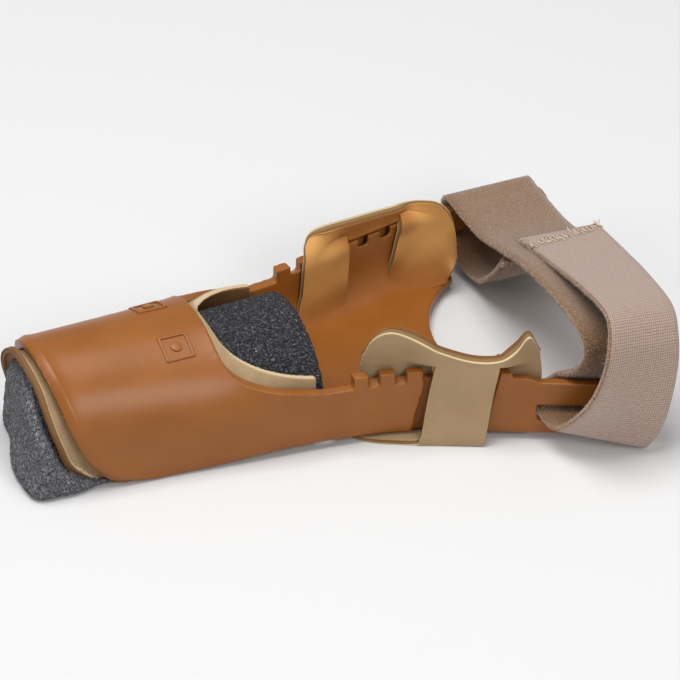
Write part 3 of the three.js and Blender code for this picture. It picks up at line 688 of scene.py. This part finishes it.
# tab: its ends along x. slit, slant: height of the slits' tops and their lean. lip: from which height to
# which the top leans out, and how far. lean, curl: of the heel and toe ends. fade: of the lip beside the
# tab. rim, full: where the lip gets thick, and how thick. toe_end, heel_end: (z, x). top: (x, z).
# low: (x, how far the wing runs round the fillet).
PADS = {
    "near": dict(
        sign=-1, column=1, tab=(15.6, 28.8), slant=(4.0, 0.0), slit=20.0, lip=(18.2, 26.5, 2.4),
        lean=0.0, curl=0.8, fade=7.0, rim=(3.5, 9.5, 33.6, 35.8), full=1.0,
        toe_end=[(4, 0.0), (10, 0.3), (16, 0.6), (20, 1.1), (22, 1.1), (24, 0.5), (27, -1.2), (29, -1.8)],
        heel_end=[(4, 37.4), (10, 38.2), (16, 38.6), (20, 38.2), (24, 37.7), (29, 37.6)],
        top=[(0.0, 21.6), (0.5, 22.7), (1.3, 24.4), (2.6, 26.2), (4.4, 27.8), (6.4, 28.8), (8.5, 28.5),
             (11.7, 26.6), (15.6, 24.1), (19, 22.5), (23, 21.2), (27, 21.1), (30, 22.2), (32, 24.1),
             (34, 28.0), (35.8, 22.8)],
        low=[(0.0, 4.0), (6, 6.5), (30, 6.5), (35.8, 4.0)]),
    "far": dict(
        sign=1, column=2, tab=(16.6, 30.6), slant=(-1.3, -5.0), slit=19.0, lip=(18.0, 22.4, 4.0),
        lean=5.5, curl=0.0, fade=8.0, rim=(0.5, 5.0, 31.0, 38.0), full=0.8,
        toe_end=[(4.4, 2.3), (6.5, 2.8), (9.5, 3.8), (12, 4.1), (15.7, 4.4), (18, 4.7), (21, 6.2)],
        heel_end=[(4.2, 40.0), (5, 41.4), (6.5, 42.5), (8.5, 43.2), (11, 44.1), (14, 45.0), (17, 45.7),
                  (22, 45.6)],
        top=[(6.0, 20.4), (6.3, 20.9), (7, 21.9), (8.2, 23.0), (10, 23.4), (13, 23.2), (17, 22.7),
             (22, 22.1), (27, 21.5), (31, 20.9), (34, 20.9), (37, 21.8), (39.5, 21.9), (41.2, 18.2),
             (42.5, 13.2), (43.4, 8.6)],
        low=[(6.0, 9.4), (16.6, 7.4), (30.6, 5.6), (34, 8.6), (38, 9.2), (43.4, 7.4)]),
}
WING_COLUMNS, TAB_COLUMNS = 12, 8
BAND_ROWS, FINGER_ROWS, UNDER_ROWS = 6, 14, 6
PAD_COLUMNS = 2 * WING_COLUMNS + TAB_COLUMNS
WING_ROWS = BAND_ROWS + FINGER_ROWS
PAD_ROWS = WING_ROWS + UNDER_ROWS
print("pads:", list(PADS), "grid:", PAD_COLUMNS, "by", PAD_ROWS)

# %% [markdown]
# The inset of the skin, which is its distance inwards from the wall's outer face, decides the bend. A wing
# runs down inside the wall, round the fillet and onto the floor; above the teeth it ends in a lip that
# leans outwards. The tab runs down outside and under the floor.

# %% Pad bends
TAB_INSET = -0.9
LIP_ENDS = (29.0, 41.0)
TAB_THINS = (17.4, 18.8)


def wing_low(run, clear):
    """Inset and height of the wing, run mm along its bend; below zero it stands upright."""
    reach = FLOOR_FILLET - clear
    centre = WALL + FLOOR_FILLET
    if run < 0:
        return centre - reach, FLOOR_TOP + FLOOR_FILLET - run
    angle = min(run / reach, math.pi / 2)
    return (centre - reach * math.cos(angle) + max(0.0, run - reach * math.pi / 2),
            FLOOR_TOP + FLOOR_FILLET - reach * math.sin(angle))


def beside_tab(pad, x):
    """How far x lies outside the tab."""
    return max(pad["tab"][0] - x, x - pad["tab"][1], 0.0)


def lip_inset(pad, x, z):
    """Inset of the skin above the wall top."""
    low, high, reach = pad["lip"]
    at_tab = 1.0 - smoothstep(beside_tab(pad, x), 0.0, pad["fade"])
    reach *= 1.0 - smoothstep(x, *LIP_ENDS) * (pad["lean"] > 0)
    lobe = WALL + PAD_CLEAR - reach * smoothstep(z, low, high)
    return lobe + (TAB_INSET - lobe) * at_tab


def tab_point(pad, x, row):
    """Place and thickness of a corner of the tab."""
    tab_from, tab_to = pad["tab"]
    outer = look_up(OUTER_FACE, x, pad["column"])
    t = (row - BAND_ROWS) / (FINGER_ROWS + UNDER_ROWS) * (len(TAB_COURSE) - 1)
    course = [(i, *r) for i, r in enumerate(TAB_COURSE)]
    inset, z, widen = (look_up(course, t, k) for k in (1, 2, 3))
    z = min(z, pad["slit"])
    share = (x - tab_from) / (tab_to - tab_from)
    x += TAB_SLANT * max(0.0, 1 - z / pad["slit"]) - widen * (1 - share)
    inset = outer if row == PAD_ROWS else inset
    thick = SHEET_THICK + (LIP_THICK - SHEET_THICK) * smoothstep(z, *TAB_THINS)
    return place(x, pad["sign"] * (outer - inset), max(z, 0.0)), thick


near_pad = PADS["near"]
print("near tab at the floor, mm:", in_mm(tab_point(near_pad, near_pad["tab"][0], WING_ROWS)[0]))

# %% [markdown]
# One function gives every corner of the sheet its place and its thickness. The band along the top is thick
# and round like a lip. The wings are thin and end in a feather edge that is pressed onto the floor. Between
# the slits the sheet keeps its width, and beside them it is stretched to the outline of the real pad.

# %% Pad course
BAND_LEAST, PRESSED, CURL_RUN, FEATHER_ROWS, FEATHERED = 0.8, 0.64, 6.0, 6, 0.97
HEEL_LEAN, LIP_BELOW, WALL_TOP = (33.0, 44.0), (5.0, 1.5), (18.0, 19.0)
LIP_FADE = 4.0


def pad_point(pad, column, row, finger, xs):
    """Place of one corner of the sheet, and the sheet's thickness there in mm."""
    x, toe, heel = xs[column], xs[0], xs[-1]
    if finger == "tab" and row > BAND_ROWS:
        return tab_point(pad, x, row)
    tab_from, tab_to = pad["tab"]
    top, slit = look_up(pad["top"], x), pad["slit"]
    band_low = min(slit, top - BAND_LEAST)
    if row <= BAND_ROWS:
        z = top + (band_low - top) * row / BAND_ROWS
        inset = lip_inset(pad, x, z)
    else:
        upright = FLOOR_TOP + FLOOR_FILLET - band_low
        part = (row - BAND_ROWS) / FINGER_ROWS
        run = upright + (look_up(pad["low"], x) - upright) * part
        inset, z = wing_low(run, PAD_CLEAR - PRESSED * smoothstep(part, 0.5, 1.0))
        inset += (lip_inset(pad, x, band_low) - inset) * smoothstep(z, WALL_TOP[0], slit)
    inset += pad["lean"] * smoothstep(x, *HEEL_LEAN)
    from_toe, from_heel = x - toe, heel - x
    inset += pad["curl"] * max(0.0, 1.0 - from_toe / CURL_RUN) ** 2
    rim = smoothstep(z, *(top - below for below in LIP_BELOW))
    at_tab = 1.0 - smoothstep(beside_tab(pad, x), 0.0, LIP_FADE)
    rim = max(rim, at_tab * smoothstep(z, *WALL_TOP))
    rim *= pad["full"] * smoothstep(from_toe, *pad["rim"][:2]) * (1.0 - smoothstep(x, *pad["rim"][2:]))
    thick = SHEET_THICK + (LIP_THICK - SHEET_THICK) * rim
    thick *= 1.0 - FEATHERED * smoothstep(row, WING_ROWS - FEATHER_ROWS, WING_ROWS)
    toe_slit, heel_slit = (slant * max(0.0, 1 - z / slit) for slant in pad["slant"])
    if x < tab_from:
        start, stop = look_up(pad["toe_end"], z), tab_from + toe_slit
        x = start + (stop - start) * (from_toe / (tab_from - toe))
    elif x > tab_to:
        start, stop = look_up(pad["heel_end"], z), tab_to + heel_slit
        x = start + (stop - start) * (from_heel / (heel - tab_to))
    elif row > BAND_ROWS:
        x += toe_slit if x < (tab_from + tab_to) / 2 else heel_slit
    return place(x, pad["sign"] * (look_up(OUTER_FACE, x, pad["column"]) - inset), z), thick


print("near pad, top corner at the toe, mm:", in_mm(pad_point(near_pad, 0, 0, "wing", (0.0, 35.8))[0]))

# %% [markdown]
# The blank of each half is a flat grid. The sheet beside the tab's end is deleted, and the slits are opened
# by splitting edges, as the die cuts them: the sheet keeps all its width.

# %% Pad blank
SLITS = (WING_COLUMNS, WING_COLUMNS + TAB_COLUMNS)


def grid_cell(point):
    """Column and row of a point of the flat grid."""
    return (point.x + 0.5) * PAD_COLUMNS, (0.5 - point.y) * PAD_ROWS


def pad_blank():
    """The flat, slit sheet of one half, left open in edit mode."""
    bpy.ops.mesh.primitive_grid_add(x_subdivisions=PAD_COLUMNS, y_subdivisions=PAD_ROWS, size=1.0)
    half = bpy.context.active_object
    bpy.ops.object.mode_set(mode="EDIT")
    bm = bmesh.from_edit_mesh(half.data)
    for face in bm.faces:
        column, row = grid_cell(face.calc_center_median())
        face.select = row > WING_ROWS and not SLITS[0] < column < SLITS[1]
    bmesh.update_edit_mesh(half.data)
    bpy.ops.mesh.delete(type="FACE")
    bpy.ops.mesh.select_all(action="DESELECT")
    bpy.ops.mesh.select_mode(type="EDGE")
    bm = bmesh.from_edit_mesh(half.data)
    for edge in bm.edges:
        (c0, r0), (c1, r1) = (grid_cell(v.co) for v in edge.verts)
        upright = abs(c0 - c1) < 0.1 and round(c0) in SLITS
        edge.select_set(upright and min(r0, r1) > BAND_ROWS - 0.5 and len(edge.link_faces) == 2)
    bmesh.update_edit_mesh(half.data)
    bpy.ops.mesh.edge_split(type="EDGE")
    return half


print("slits at columns", SLITS, "below row", BAND_ROWS)

# %% [markdown]
# Every corner of the blank is moved to its place on the bent sheet, and gets its thickness, its share of gel
# and its share of painted shade, which at the wings' feet is a fade into the shell's brown.

# %% Pad halves
# Painted shade: the band beside the tab and the tab's face seen through the notches are mixed to brown.
GEL_ROWS, BAND_PAINTED_SHADE, BAND_SHADE_FADE, TAB_PAINTED_SHADE = 4, 0.8, 6.0, 0.9
LOW_END = (WING_ROWS - 9, WING_ROWS - 1)


def crowded(low, high, count):
    """Steps from low to high that get shorter towards both ends."""
    return [low + (high - low) * (1 - math.cos(math.pi * i / count)) / 2 for i in range(count + 1)]


def shade_and_floor_share(pad, x, row, finger):
    """How far the gel is mixed to the shell's brown: painted shade by the tab, a fade at the wings' feet."""
    if finger == "tab" and row > BAND_ROWS:
        return TAB_PAINTED_SHADE
    band_shade = BAND_PAINTED_SHADE * (1.0 - smoothstep(beside_tab(pad, x), 0.0, BAND_SHADE_FADE))
    band_shade *= 1.0 - smoothstep(row, BAND_ROWS, BAND_ROWS + GEL_ROWS)
    return max(band_shade, smoothstep(row, *LOW_END) * (finger != "tab"))


def pad_half(side):
    """One half of the sling, bent round its wall."""
    pad = PADS[side]
    stops = pad["top"][0][0], *pad["tab"], pad["top"][-1][0]
    xs = (crowded(*stops[0:2], WING_COLUMNS)[:-1] + crowded(*stops[1:3], TAB_COLUMNS)[:-1]
          + crowded(*stops[2:4], WING_COLUMNS))
    half = pad_blank()
    bm = bmesh.from_edit_mesh(half.data)
    group = half.vertex_groups.new(name="thickness")
    weight = bm.verts.layers.deform.verify()
    padded = bm.verts.layers.float.new("padded")
    shade_and_floor_blend = bm.verts.layers.float.new("shade_and_floor_blend")
    spots = []
    for vertex in bm.verts:
        column, row = (round(v) for v in grid_cell(vertex.co))
        middles = [grid_cell(f.calc_center_median())[0] for f in vertex.link_faces]
        finger = "tab" if SLITS[0] < sum(middles) / len(middles) < SLITS[1] else "wing"
        spot, thick = pad_point(pad, column, row, finger, xs)
        vertex[weight][group.index] = thick / LIP_THICK
        vertex[padded] = float(finger != "tab" or row <= BAND_ROWS + GEL_ROWS)
        vertex[shade_and_floor_blend] = shade_and_floor_share(pad, xs[column], row, finger)
        spots.append(spot)
    for vertex, spot in zip(bm.verts, spots):
        vertex.co = spot
    bm.normal_update()
    bmesh.update_edit_mesh(half.data)
    bpy.ops.mesh.select_mode(type="VERT")
    bpy.ops.mesh.select_all(action="SELECT")
    if pad["sign"] * sum(f.normal.y * f.calc_area() for f in bm.faces) < 0:
        bpy.ops.mesh.flip_normals()
    bpy.ops.object.mode_set(mode="OBJECT")
    return half


halves = [pad_half(side) for side in ("near", "far")]
print("corners in each half:", [len(half.data.vertices) for half in halves])

# %% [markdown]
# Both halves meet along the middle of the floor and are welded there. Solidify then gives the laminate its
# thickness: full along the lip, thin in the wings and tabs. Its skin is marked 0 and its inner face 1 before
# the subdivision, so that the cut edge gets all the layers between.

# %% Pad sheets
sling = join(halves, "pad_sling_sheet")
edit_whole(sling, bpy.ops.mesh.remove_doubles, threshold=0.02 * MM)
skin_count = len(sling.data.vertices)
modify(sling, "SOLIDIFY", thickness=LIP_THICK * MM, offset=-1.0, vertex_group="thickness", use_rim=True,
       edge_crease_inner=0.85, edge_crease_outer=0.85)
layer = sling.data.attributes.new("layer", "FLOAT", "POINT")
layer.data.foreach_set("value", [float(i >= skin_count) for i in range(len(sling.data.vertices))])
modify(sling, "SUBSURF", levels=2, render_levels=2)
dress(sling, pad_sheet)

# %% [markdown]
# ## Strap
# One length of tape: sewn end under the bridge, down inside the far wall, out through the far slot, over
# the top, out through the near slot and back over itself. A curve with a flat bevel would twist at the tight
# bends. So each row gives the toe-side edge of the tape and how the tape is turned there.

# %% Strap course
# Edge point x, y, z, then turn and dip of the tape in degrees.
STRAP_ROWS = [
    (45, 1, 22.0, 0, 4), (45.2, 8.4, 13.0, 0, 2), (45.6, 17.6, 5.2, 0, 0), (45, 26.6, 4.2, 0, 0),
    (44.3, 32.6, 7.4, 0, 0), (44.5, 35.4, 8.6, 0, 0), (44.5, 36.3, 12.6, 0, 0), (44.5, 34, 17.8, 0, 0),
    (44.4, 27, 18.7, 0, 0), (44.3, 14, 20.2, 0, 1), (44.3, 1, 24.4, -1, 5), (44.4, -12, 28.4, -2, 9),
    (44.6, -31, 31, -2, 12), (44.9, -42, 30.2, 4, 12), (45, -45, 26, 10, 10), (44, -41.4, 19.4, 18, 6),
    (41.4, -35.4, 14.6, 24, 2), (37.6, -32.4, 8.6, 25, 0), (37.0, -37.9, 7.2, 25.4, 0),
    (37.6, -42.2, 6.6, 24, 8), (38.6, -45.2, 7.4, 19, 17), (41, -49.4, 12.2, 10, 15),
    (42.8, -54.2, 19.4, -3, 13), (44.8, -56, 26.4, -11, 12), (46.4, -55.8, 34, -16, 16),
    (48.2, -50, 38.5, -18, 18), (49.0, -34.5, 35.7, -16, 16), (49.5, -15.3, 29.9, -10, 12),
    (49.3, 2.5, 24.9, -6, 7.5),
]
STRAP_END = len(STRAP_ROWS) - 1
STRAP_SAMPLES = 1000


def strap_row(t):
    """Edge point, turn and dip of the tape at t rows along its course."""
    i = min(int(t), STRAP_END - 1)
    p = [np.array(STRAP_ROWS[min(max(i + k, 0), STRAP_END)], float) for k in (-1, 0, 1, 2)]
    s = t - i
    m0, m1 = 0.5 * (p[2] - p[0]), 0.5 * (p[3] - p[1])
    return ((2 * s ** 3 - 3 * s ** 2 + 1) * p[1] + (s ** 3 - 2 * s ** 2 + s) * m0
            + (3 * s ** 2 - 2 * s ** 3) * p[2] + (s ** 3 - s ** 2) * m1)


def strap_point(t, across):
    """A point of the tape, at a share of its width from the toe-side edge."""
    x, y, z, turn, dip = strap_row(t)
    turn, dip = math.radians(turn), math.radians(dip)
    step = TAPE_WIDTH * across
    return place(x + step * math.cos(dip) * math.cos(turn), y - step * math.cos(dip) * math.sin(turn),
                 z - step * math.sin(dip))


middle = [strap_point(STRAP_END * i / STRAP_SAMPLES, 0.5) for i in range(STRAP_SAMPLES + 1)]
run = np.cumsum([0.0] + [(b - a).length for a, b in zip(middle, middle[1:])])
row_at = np.linspace(0, STRAP_END, STRAP_SAMPLES + 1)
print("tape length, mm:", round(run[-1] / MM, 1))

# %% [markdown]
# The tape is a grid with even steps along its length, laid on that course; its UV map comes with the grid.
# Solidify gives it two faces and puts the second material on the other one. The run before the far slot
# shows pile on both faces, the rest weave on one face and pile on the other.

# %% Strap tape
TAPE_THICK = 1.3
STRAP_STEPS, STRAP_ACROSS, FAR_SLOT = 224, 6, 5.5
at = np.interp(np.linspace(0, run[-1], STRAP_STEPS + 1), run, row_at)
bpy.ops.mesh.primitive_grid_add(x_subdivisions=STRAP_ACROSS, y_subdivisions=STRAP_STEPS, size=1.0)
strap = bpy.context.active_object
strap.name = strap.data.name = "foot_strap_tape"
steps = [round((v.co.y + 0.5) * STRAP_STEPS) for v in strap.data.vertices]
for vertex, step in zip(strap.data.vertices, steps):
    vertex.co = strap_point(at[step], vertex.co.x + 0.5)
strap_area = sum(polygon.area for polygon in strap.data.polygons)
for material in (strap_weave, strap_pile):
    strap.data.materials.append(material)
for polygon in strap.data.polygons:
    polygon.material_index = int(at[min(steps[v] for v in polygon.vertices)] < FAR_SLOT)
modify(strap, "SOLIDIFY", thickness=TAPE_THICK * MM, offset=0.0, use_rim=True, material_offset=1,
       material_offset_rim=1, edge_crease_inner=0.7, edge_crease_outer=0.7)
modify(strap, "SUBSURF", levels=1, render_levels=1)
dress(strap)
print("tape area, cm2:", round(1e4 * strap_area, 1))

# %% [markdown]
# Threads and fibres sit on the bent tape, so each needs a place by distance along the tape and by share of
# its width, and the tape's own directions there. A thread is drawn as a curve with a round bevel, which is
# turned into a mesh later.

# %% Thread tools
chance = np.random.default_rng(7)
LOOK_AHEAD = 0.02


def tape_at(distance):
    """Row number at so many mm from the sewn end; below zero, from the free end."""
    return float(np.interp(distance * MM if distance >= 0 else run[-1] + distance * MM, run, row_at))


def tape_frame(t, across):
    """A point in the tape's middle, with its directions along, across and out of the pile face."""
    ahead = (strap_point(min(t + LOOK_AHEAD, STRAP_END), across)
             - strap_point(max(t - LOOK_AHEAD, 0), across))
    over = strap_point(t, 1.0) - strap_point(t, 0.0)
    return strap_point(t, across), ahead.normalized(), over.normalized(), ahead.cross(over).normalized()


def thread_curve(points, radius):
    """A round thread through the points."""
    curve = bpy.data.curves.new("thread", "CURVE")
    curve.dimensions = "3D"
    curve.bevel_depth = radius * MM
    curve.bevel_resolution = 1
    spline = curve.splines.new("POLY")
    spline.points.add(len(points) - 1)
    for point, spot in zip(spline.points, points):
        point.co = (*spot, 1.0)
    piece = bpy.data.objects.new("thread", curve)
    bpy.context.collection.objects.link(piece)
    return piece


print("row halfway along the tape:", round(tape_at(TAPE_LENGTH / 2), 2))

# %% [markdown]
# Both ends of the tape are overlocked: a pale thread runs in a zigzag over the cut edge and leaves loose
# tails at the corners. The real thread is about 0.2 mm thick; it is drawn at 0.4 mm so that it shows. The
# stitches are uneven, and the free end is cut at a slant.

# %% Strap seams
STITCHES, STITCH_SHORT, STITCH_LONG = 36, 0.4, 3.0
TAILS, TAIL_STEPS, ON_FACE = 18, 4, 0.8
THREAD_RADIUS, TAIL_RADIUS = 0.2, 0.1


def zigzag(edge, face, level, skew):
    """One pass of stitches over the end of the tape."""
    points = []
    for i in range(STITCHES + 1):
        across = min(max(i / STITCHES + chance.normal(0, 0.012), 0.0), 1.0)
        reach = (STITCH_SHORT if i % 2 else STITCH_LONG) + skew * (1.0 - across) + chance.normal(0, 0.4)
        spot, ahead, over, out = tape_frame(tape_at(edge * max(reach, 0.1)), across)
        points.append(spot + face * out * (0.78 + 0.12 * level + 0.08 * chance.random()) * MM)
    return thread_curve(points, THREAD_RADIUS)


def loose_tail(edge, face, skew):
    """One frayed end of thread that wanders off the cut edge, most often at a corner."""
    across = chance.choice([chance.uniform(-0.02, 0.12), chance.uniform(0.85, 1.02), chance.random()])
    reach = 0.5 + skew * chance.random() * max(0.0, 1.0 - across)
    spot, ahead, over, out = tape_frame(tape_at(edge * reach), across)
    spot = spot + face * out * ON_FACE * MM
    heading = -edge * ahead * 0.5 + over * chance.normal(0, 0.9) + face * out * chance.uniform(-0.3, 0.5)
    points = [spot.copy()]
    for _ in range(TAIL_STEPS):
        heading = heading.normalized() + Vector(chance.normal(0, 0.5, 3))
        spot = spot + heading.normalized() * chance.uniform(0.2, 0.45) * MM
        points.append(spot.copy())
    return thread_curve(points, TAIL_RADIUS)


def seam(name, edge, face, passes, skew):
    """All threads at one end of the tape; edge is +1 at the sewn end and -1 at the free end."""
    threads = [zigzag(edge, face, level, skew) for level in range(passes)]
    threads += [loose_tail(edge, face, skew) for _ in range(TAILS)]
    pick(threads[0])
    for piece in threads:
        piece.select_set(True)
    bpy.ops.object.convert(target="MESH")
    piece = join(threads, name)
    dress(piece, thread)
    return piece


seams = [seam("strap_seam_free", -1, -1, 2, 4.6), seam("strap_seam_sewn", 1, 1, 1, 0.0)]

# %% [markdown]
# Loop tape sheds fibres: a thin fringe stands along both cut edges, and the pile face of the inner run is
# hairy. Hair particles would have to be turned into meshes anyway, so each fibre is a bent spike with three
# sides, built from a few faces. Real fibres are thinner; these are 0.1 mm thick so that they show.

# %% Strap fibres
FRINGE_STEP, END_GAP, HEEL_SHARE, ROOT_IN, ON_PILE = 0.22, 0.3, 0.25, 0.1, 0.6
HAIRY_RUNS = [(0.0, 5.0, 1500), (8.0, 12.5, 700), (12.5, 18.0, 3000)]    # from row, to row, fibres
SPIKE = ((0.0, 0.06), (0.55, 0.05))    # share of the length, and the radius there


def add_fibre(points, faces, root, heading, length):
    """Add the corners and faces of one bent spike."""
    side = heading.cross(Vector((0.3, 0.5, 0.8))).normalized()
    a = len(points)
    bend = Vector(chance.normal(0, 0.35, 3))
    for share, radius in SPIKE:
        centre = root + (heading + bend * share).normalized() * length * share * MM
        for k in range(3):
            turned = Matrix.Rotation(k * 2 * math.pi / 3, 3, heading) @ side
            points.append(centre + turned * radius * MM)
    points.append(root + (heading + bend).normalized() * length * MM)
    faces += [(a + k, a + (k + 1) % 3, a + 3 + (k + 1) % 3, a + 3 + k) for k in range(3)]
    faces += [(a + 3 + k, a + 3 + (k + 1) % 3, a + 6) for k in range(3)]


points, faces = [], []
for distance in np.arange(END_GAP, 1000 * run[-1] - END_GAP, FRINGE_STEP):
    t = tape_at(distance)
    for across, sign in ((0.0, -1), (1.0, 1)):
        if sign > 0 and chance.random() > HEEL_SHARE:
            continue
        spot, ahead, over, out = tape_frame(t, across)
        root = spot + out * chance.uniform(-0.5, 0.6) * MM - sign * over * ROOT_IN * MM
        heading = (sign * over + ahead * chance.normal(0, 0.6) + out * chance.normal(0.2, 0.4)).normalized()
        add_fibre(points, faces, root, heading, chance.uniform(0.2, 0.8))
for t in np.concatenate([chance.uniform(*stretch) for stretch in HAIRY_RUNS]):
    spot, ahead, over, out = tape_frame(t, chance.random())
    heading = (out + Vector(chance.normal(0, 0.6, 3))).normalized()
    add_fibre(points, faces, spot + out * ON_PILE * MM, heading, chance.uniform(0.3, 0.7))
fringe_mesh = bpy.data.meshes.new("strap_fibres")
fringe_mesh.from_pydata(points, [], faces)
fringe = bpy.data.objects.new("strap_fibres", fringe_mesh)
bpy.context.collection.objects.link(fringe)
edit_whole(fringe, bpy.ops.mesh.normals_make_consistent, inside=False)
fringe_mesh.materials.append(fibre)
tell(fringe)

# %% [markdown]
# ## Ties to the frame
# The splint has no joint, so every piece rides with the one body. Five pieces stand for their CAD nodes,
# which are hidden, and the marks, seams and fibres ride with the same body.

# %% Ties
added = ((hood_marks, "shell_plastic"), (seams[0], "strap_tape"), (seams[1], "strap_tape"),
         (fringe, "strap_tape"))
for piece, slot in added:
    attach(piece, "root")
refined = ((shell, "shell", "shell_plastic"), (liner, "toe_liner", "liner_sheet"),
           (plug, "toe_foam", "foam"), (sling, "pad_sling", "pad_sheet"),
           (strap, "foot_strap", "strap_tape"))
for piece, node, slot in refined:
    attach(piece, "root")
    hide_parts(node)
print("pieces tied to root:", len(added) + len(refined))

# %% [markdown]
# ## Stage
# A plain pale floor and a white sky. The floor is far larger than the part, so that its edge is never seen,
# and dull, so that it mirrors nothing.

# %% Floor and sky
bpy.ops.mesh.primitive_plane_add(size=8.0, location=(0, 0, 0))
floor = bpy.context.active_object
floor.name = "studio_floor"
floor_paint, tree = new_material("Studio_floor_pale")
shader = add(tree, "BsdfPrincipled", Base_Color=colour("#DADADA"), Roughness=0.9)
add(tree, "OutputMaterial", {"Surface": shader.outputs["BSDF"]})
floor.data.materials.append(floor_paint)

world = bpy.data.worlds.new("Studio_sky")
bpy.context.scene.world = world
world.use_nodes = True
sky = world.node_tree.nodes["Background"].inputs
sky["Color"].default_value = colour("#FFFFFF")
sky["Strength"].default_value = 0.34
bpy.context.scene.view_settings.view_transform = "Standard"
print("floor, m:", [round(v, 1) for v in floor.dimensions])

# %% [markdown]
# Three soft lights: a large one overhead, a weaker one from the front right that lights the near wall, and
# a faint one from the left for the foam. Each is placed as the camera sees it, by how far it stands to the
# right, above and towards the camera, so it is easy to tell which one makes which highlight.

# %% Lights
RIGHT = Vector((0.9225, -0.3859, 0.0))
UP = Vector((0.2224, 0.5317, 0.8171))
AHEAD = Vector((0.3153, 0.7538, -0.5764))
AIM_RIGHT, AIM_UP = 4.294, 10.18
aim = ZERO + (AIM_RIGHT * RIGHT + AIM_UP * UP) * MM
LIGHTS = [    # name, side (right, up, towards the camera), distance and size in metres, watts
    ("key_light", (-0.15, 1.0, 0.75), 0.8, 0.5, 5.3),
    ("front_light", (0.45, 0.08, 0.88), 1.0, 0.36, 3.2),
    ("left_light", (-0.85, 0.25, 0.45), 0.9, 0.5, 1.5),
]
for name, (right, up, near), distance, size, power in LIGHTS:
    direction = (right * RIGHT + up * UP - near * AHEAD).normalized()
    bpy.ops.object.light_add(type="AREA", location=aim + direction * distance)
    light = bpy.context.active_object
    light.name = name
    light.data.size = size
    light.data.energy = power
    light.rotation_euler = direction.to_track_quat("Z", "Y").to_euler()
    print(name, power, "W")

# %% [markdown]
# The camera looks down at the photo's angle. It stands far off with a long lens, so that the picture is
# almost free of perspective, and the lens follows from the scale: so many pixels to a metre at the part.

# %% Camera
CAMERA_DISTANCE = 6.0
SENSOR, PICTURE_WIDTH, PIXELS_PER_METRE = 36.0, 680, 4448
camera_data = bpy.data.cameras.new("photo_camera")
camera = bpy.data.objects.new("photo_camera", camera_data)
bpy.context.collection.objects.link(camera)
camera_data.sensor_width = SENSOR
camera_data.lens = PIXELS_PER_METRE * CAMERA_DISTANCE * SENSOR / PICTURE_WIDTH
camera_data.clip_end = 50.0
turn = Matrix((RIGHT, UP, -AHEAD)).transposed().to_4x4()
camera.matrix_world = Matrix.Translation(aim - AHEAD * CAMERA_DISTANCE) @ turn
bpy.context.scene.camera = camera
print("lens, mm:", round(camera_data.lens, 1))
